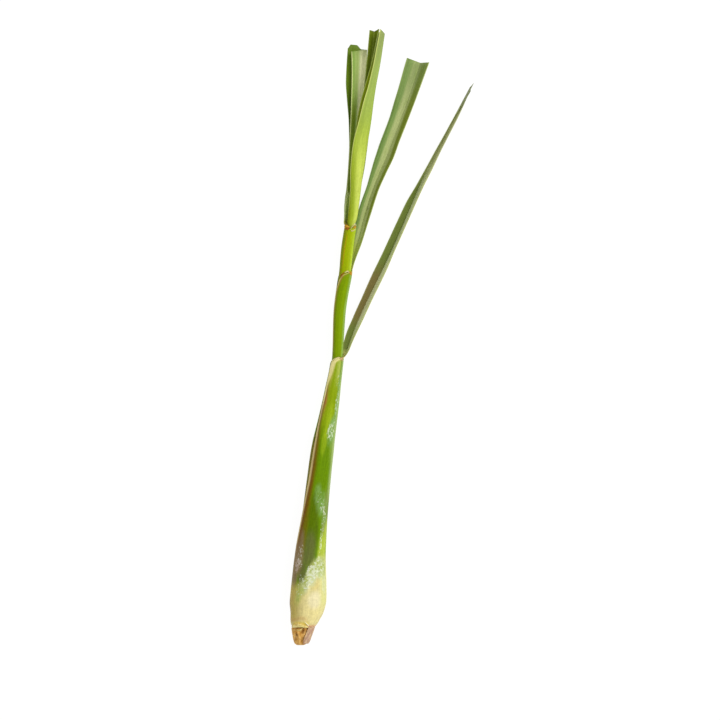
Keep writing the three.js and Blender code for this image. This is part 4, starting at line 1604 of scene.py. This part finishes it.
@dataclass(frozen=True)
class Rim:
    """A thin raised line that runs part of the way round the stalk.

    Attributes:
        name: Name of the piece.
        slot: Material slot of its finish.
        path: Rows of turn in degrees, y, distance from the stalk's line and half thickness.
        finish: Its skin.
        tall: Its height along the stalk as a share of its thickness.
        ragged: How far its line strays, in millimetres.
        seed: Seed of its straying.
    """

    name: str
    slot: str
    path: Sequence[Sequence[float]]
    finish: DryFinish
    tall: float = 1.0
    ragged: float = 0.12
    seed: int = 1

    def build(self) -> bpy.types.Object:
        """Makes the rim as a tube, half sunk in the leaf that it grows on."""
        wander = Wander(80 + self.seed, 9)
        turns = np.array(spaced(self.path[0][0], self.path[-1][0], RIM_STEP))
        values = Curve(self.path)(turns)
        around = np.linspace(0, 2 * math.pi, RIM_SIDES + 1)
        grid, hollow, crest = [], [], []
        for turn, (y, reach, thick) in zip(turns, values):
            stray = self.ragged * float(wander(np.array(turn * 0.5), np.array(turn * 3.0)))
            level = y + stray + thick * self.tall * np.sin(around)
            out = reach + 0.5 * stray + thick * np.cos(around)
            cx, cz = STALK_LINE(y)
            angle = math.radians(turn)
            grid.append(np.stack([cx + out * math.cos(angle), level, cz + out * math.sin(angle)], axis=1))
            # Lighter along the outer crest and darker on the side towards the tips: painted highlight and
            # painted shade of the raised line; the straying adds its own tone.
            hollow.append(0.5 + 4 * stray + 0.3 * np.sin(around))
            crest.append(0.5 + 0.5 * np.cos(around))
        rows, columns = len(turns), len(around)
        points = np.array(grid).reshape(-1, 3)
        across = np.repeat(np.radians(turns) * RIM_RADIUS, columns)
        fields = {
            "hollow": np.clip(hollow, 0, 1).ravel(),
            "crest": np.clip(crest, 0, 1).ravel(),
            "strip": np.stack([across, points[:, 1], np.zeros(len(points))], axis=1),
        }
        piece = make_mesh(self.name, points, grid_faces(rows, columns, 0, True), fields)
        return place(piece, self.finish.build(), self.slot)


def rim_skin(name: str, *colours: Colour, grain: float = 1.2, depth: float = 0.06) -> DryFinish:
    """Skin of a rim, its colours the ground, the hollow and the crest."""
    return DryFinish(name, *colours, (grain, grain), depth)


PALE_RIM = rim_skin("Pale rim", srgb(226, 214, 138), srgb(176, 140, 62), srgb(246, 238, 176), depth=0.05)
# Near-white skin of the short line on the bulb's lip: a painted highlight.
HIGHLIGHT_RIM = rim_skin("Painted highlight rim", srgb(248, 238, 188), srgb(236, 218, 140), srgb(255, 252, 226), depth=0.05)
AMBER_RIM = rim_skin("Amber rim", srgb(196, 138, 16), srgb(166, 100, 4), srgb(222, 178, 60))
LIP_RIM = rim_skin("Lip rim", srgb(232, 206, 84), srgb(206, 160, 48), srgb(255, 244, 176), grain=0.8)
RUST_RIM = rim_skin("Rust rim", srgb(160, 98, 22), srgb(112, 54, 8), srgb(178, 116, 32))
ROSE_RIM = rim_skin("Rose rim", srgb(206, 160, 122), srgb(156, 100, 66), srgb(232, 200, 160))


def all_rims() -> list[Rim]:
    """The lip under the bulb with a painted highlight line on it, and the rims of the three collars."""
    return [
        Rim("base_lip", "outer_sheath", (
            (62, -15.9, 7.0, 0.3), (74, -15.6, 7.05, 0.8), (86, -15.2, 7.2, 1.1), (98, -14.5, 7.6, 1.4),
            (112, -14.4, 7.8, 1.5), (132, -14.9, 7.6, 1.2), (152, -15.7, 7.3, 0.7), (170, -15.9, 7.1, 0.4),
        ), LIP_RIM, 1.1, 0.4, 1),
        # A short near-white line along the lip: a painted highlight where the lip catches the light.
        Rim("base_highlight", "outer_sheath", (
            (66, -15.1, 7.6, 0.15), (74, -14.3, 8.15, 0.4), (82, -13.4, 8.5, 0.4), (90, -12.6, 8.8, 0.15),
        ), HIGHLIGHT_RIM, 1.3, 0.1, 12),
        Rim("base_rose", "outer_sheath", (
            (10, -15.4, 6.9, 0.3), (40, -15.7, 7.0, 0.7), (60, -15.8, 7.0, 0.6), (74, -15.8, 7.0, 0.2),
        ), ROSE_RIM, 1.2, 0.3, 13),
        Rim("base_curl", "outer_sheath", (
            (92, -16.4, 6.7, 0.2), (104, -17.6, 6.9, 0.55), (116, -17.9, 6.9, 0.5), (126, -17.0, 6.8, 0.2),
        ), LIP_RIM, 0.8, 0.3, 2),
        Rim("collar_one_rim", "outer_sheath", (
            (70, 150.4, 4.1, 0.2), (84, 150.2, 4.15, 0.36), (110, 149.4, 4.2, 0.4), (134, 148.6, 4.15, 0.28),
            (150, 148.0, 4.1, 0.12),
        ), PALE_RIM, 1.3, 0.15, 3),
        Rim("collar_one_notch", "outer_sheath", (
            (24, 148.4, 4.0, 0.1), (40, 149.0, 4.05, 0.24), (56, 149.8, 4.05, 0.22), (68, 150.4, 4.0, 0.1),
        ), ROSE_RIM, 1.6, 0.3, 4),
        Rim("collar_two_left", "middle_leaf", (
            (92, 202.8, 4.5, 0.12), (102, 202.2, 4.55, 0.28), (116, 201.2, 4.55, 0.3),
            (128, 200.4, 4.5, 0.1),
        ), RUST_RIM, 1.7, 0.2, 5),
        Rim("collar_two_rim", "middle_leaf", (
            (54, 203.0, 4.4, 0.2), (66, 203.6, 4.5, 0.42), (78, 203.4, 4.55, 0.36), (92, 202.7, 4.55, 0.15),
        ), PALE_RIM, 1.2, 0.1, 6),
        Rim("collar_two_ligule", "middle_leaf", (
            (10, 202.0, 4.2, 0.2), (26, 202.2, 4.4, 0.55), (42, 202.4, 4.5, 0.5), (54, 202.9, 4.4, 0.15),
        ), AMBER_RIM, 2.1, 0.2, 7),
        Rim("collar_three_left", "upper_leaf", (
            (96, 230.9, 3.3, 0.2), (112, 231.0, 3.45, 0.4), (124, 231.3, 3.5, 0.6),
            (150, 231.3, 3.5, 0.7), (174, 231.2, 3.4, 0.35),
        ), AMBER_RIM, 1.7, 0.1, 8),
        Rim("collar_three_upper", "upper_leaf", (
            (20, 231.2, 3.75, 0.12), (34, 232.2, 3.85, 0.26), (56, 232.3, 3.9, 0.28), (72, 231.4, 3.9, 0.28),
            (84, 229.9, 3.8, 0.15),
        ), PALE_RIM, 1.2, 0.1, 9),
        Rim("collar_three_lower", "upper_leaf", (
            (20, 230.9, 3.75, 0.12), (38, 229.5, 3.85, 0.24), (56, 228.7, 3.9, 0.26), (72, 228.5, 3.9, 0.3),
            (85, 229.6, 3.8, 0.15),
        ), PALE_RIM, 1.2, 0.1, 10),
        Rim("collar_three_ligule", "upper_leaf", (
            (24, 231.0, 3.7, 0.15), (34, 230.9, 3.75, 0.4), (48, 230.7, 3.75, 0.42), (60, 230.4, 3.7, 0.15),
        ), AMBER_RIM, 1.6, 0.2, 11),
        Rim("collar_three_fill", "upper_leaf", (
            (98, 230.0, 3.5, 0.3), (108, 229.7, 3.65, 0.55), (122, 229.8, 3.7, 0.6), (136, 230.2, 3.6, 0.3),
        ), RUST_RIM, 1.2, 0.1, 14),
    ]


# ---- Studio -------------------------------------------------------------------------------


@dataclass
class Studio:
    """White surface, soft light from the upper right and a camera that looks straight down.

    Attributes:
        aim: Point on the surface under the camera, in millimetres.
        frame_width: Width of the picture at the surface, in millimetres.
        distance: Height of the camera, in millimetres.
        sensor: Width of the sensor, in millimetres.
        sky: Strength of the white surroundings.
        lamp_power: Power of the large lamp, in watts.
        lamp_size: Side of the large lamp, in metres.
        lamp_at: Place of that lamp, in metres.
        surface_shade: Share of the light that the white surface throws back.
        surface_glow: Strength of its own glow.
        surface_half: Half its side, in metres.
        surface_drop: How far it lies below the stalk's flat spot, in metres.
    """

    aim: tuple[float, float] = (32.1, 148.8)
    frame_width: float = 446.4
    distance: float = 3000.0
    sensor: float = 36.0
    sky: float = 0.56
    lamp_power: float = 21.0
    lamp_size: float = 0.9
    lamp_at: tuple[float, float, float] = (1.05, 0.85, 1.55)
    surface_shade: float = 0.12
    surface_glow: float = 0.94
    surface_half: float = 6.0
    surface_drop: float = 0.0002

    def build(self) -> None:
        """Makes the whole studio."""
        self.surface()
        self.surroundings()
        self.lamp()
        self.camera()

    def surface(self) -> None:
        """A white surface that glows a little, so that only faint shadows show on it."""
        mesh = bpy.data.meshes.new("surface")
        corner_signs = ((-1, -1), (1, -1), (1, 1), (-1, 1))
        corner_points = [(x * self.surface_half, y * self.surface_half, 0) for x, y in corner_signs]
        mesh.from_pydata(corner_points, [], [(0, 1, 2, 3)])
        floor = bpy.data.objects.new("surface", mesh)
        floor.location.z = -self.surface_drop
        bpy.context.scene.collection.objects.link(floor)
        bench = NodeBench("White surface")
        bench.shader.inputs["Base Color"].default_value = (*[self.surface_shade] * 3, 1)
        bench.skin(1.0, 0.0)
        bench.shader.inputs["Emission Color"].default_value = (1, 1, 1, 1)
        bench.shader.inputs["Emission Strength"].default_value = self.surface_glow
        mesh.materials.append(bench.material)

    def surroundings(self) -> None:
        """Even white light from all round."""
        world = bpy.data.worlds.new("Studio white")
        world.use_nodes = True
        background = world.node_tree.nodes["Background"]
        background.inputs["Color"].default_value = (1, 1, 1, 1)
        background.inputs["Strength"].default_value = self.sky
        bpy.context.scene.world = world

    def lamp(self) -> None:
        """One large soft lamp, high up to the right and towards the tips."""
        light = bpy.data.lights.new("Window", "AREA")
        light.energy = self.lamp_power
        light.size = self.lamp_size
        holder = bpy.data.objects.new("Window", light)
        holder.location = self.lamp_at
        target = np.array([self.aim[0] * MM, self.aim[1] * MM, 0.0])
        away = np.array(holder.location) - target
        holder.rotation_euler = (
            math.acos(away[2] / np.linalg.norm(away)), 0.0, math.atan2(away[1], away[0]) + math.pi / 2,
        )
        bpy.context.scene.collection.objects.link(holder)

    def camera(self) -> None:
        """Looks straight down with a long lens, the stalk's tips up."""
        data = bpy.data.cameras.new("Camera")
        data.sensor_width = self.sensor
        data.lens = self.sensor * self.distance / self.frame_width
        data.clip_end = 20.0
        camera = bpy.data.objects.new("Camera", data)
        camera.location = (self.aim[0] * MM, self.aim[1] * MM, self.distance * MM)
        bpy.context.scene.collection.objects.link(camera)
        bpy.context.scene.camera = camera
        bpy.context.scene.view_settings.view_transform = "Standard"


def main() -> None:
    """Builds the stalk piece by piece, then the studio."""
    logging.basicConfig(level=logging.INFO, format="%(name)s: %(message)s")
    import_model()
    RootStub().build()
    BaseScale().build()
    for leaf in all_leaves():
        leaf.build()
    for rim in all_rims():
        rim.build()
    Studio().build()


if __name__ == "__main__":
    main()
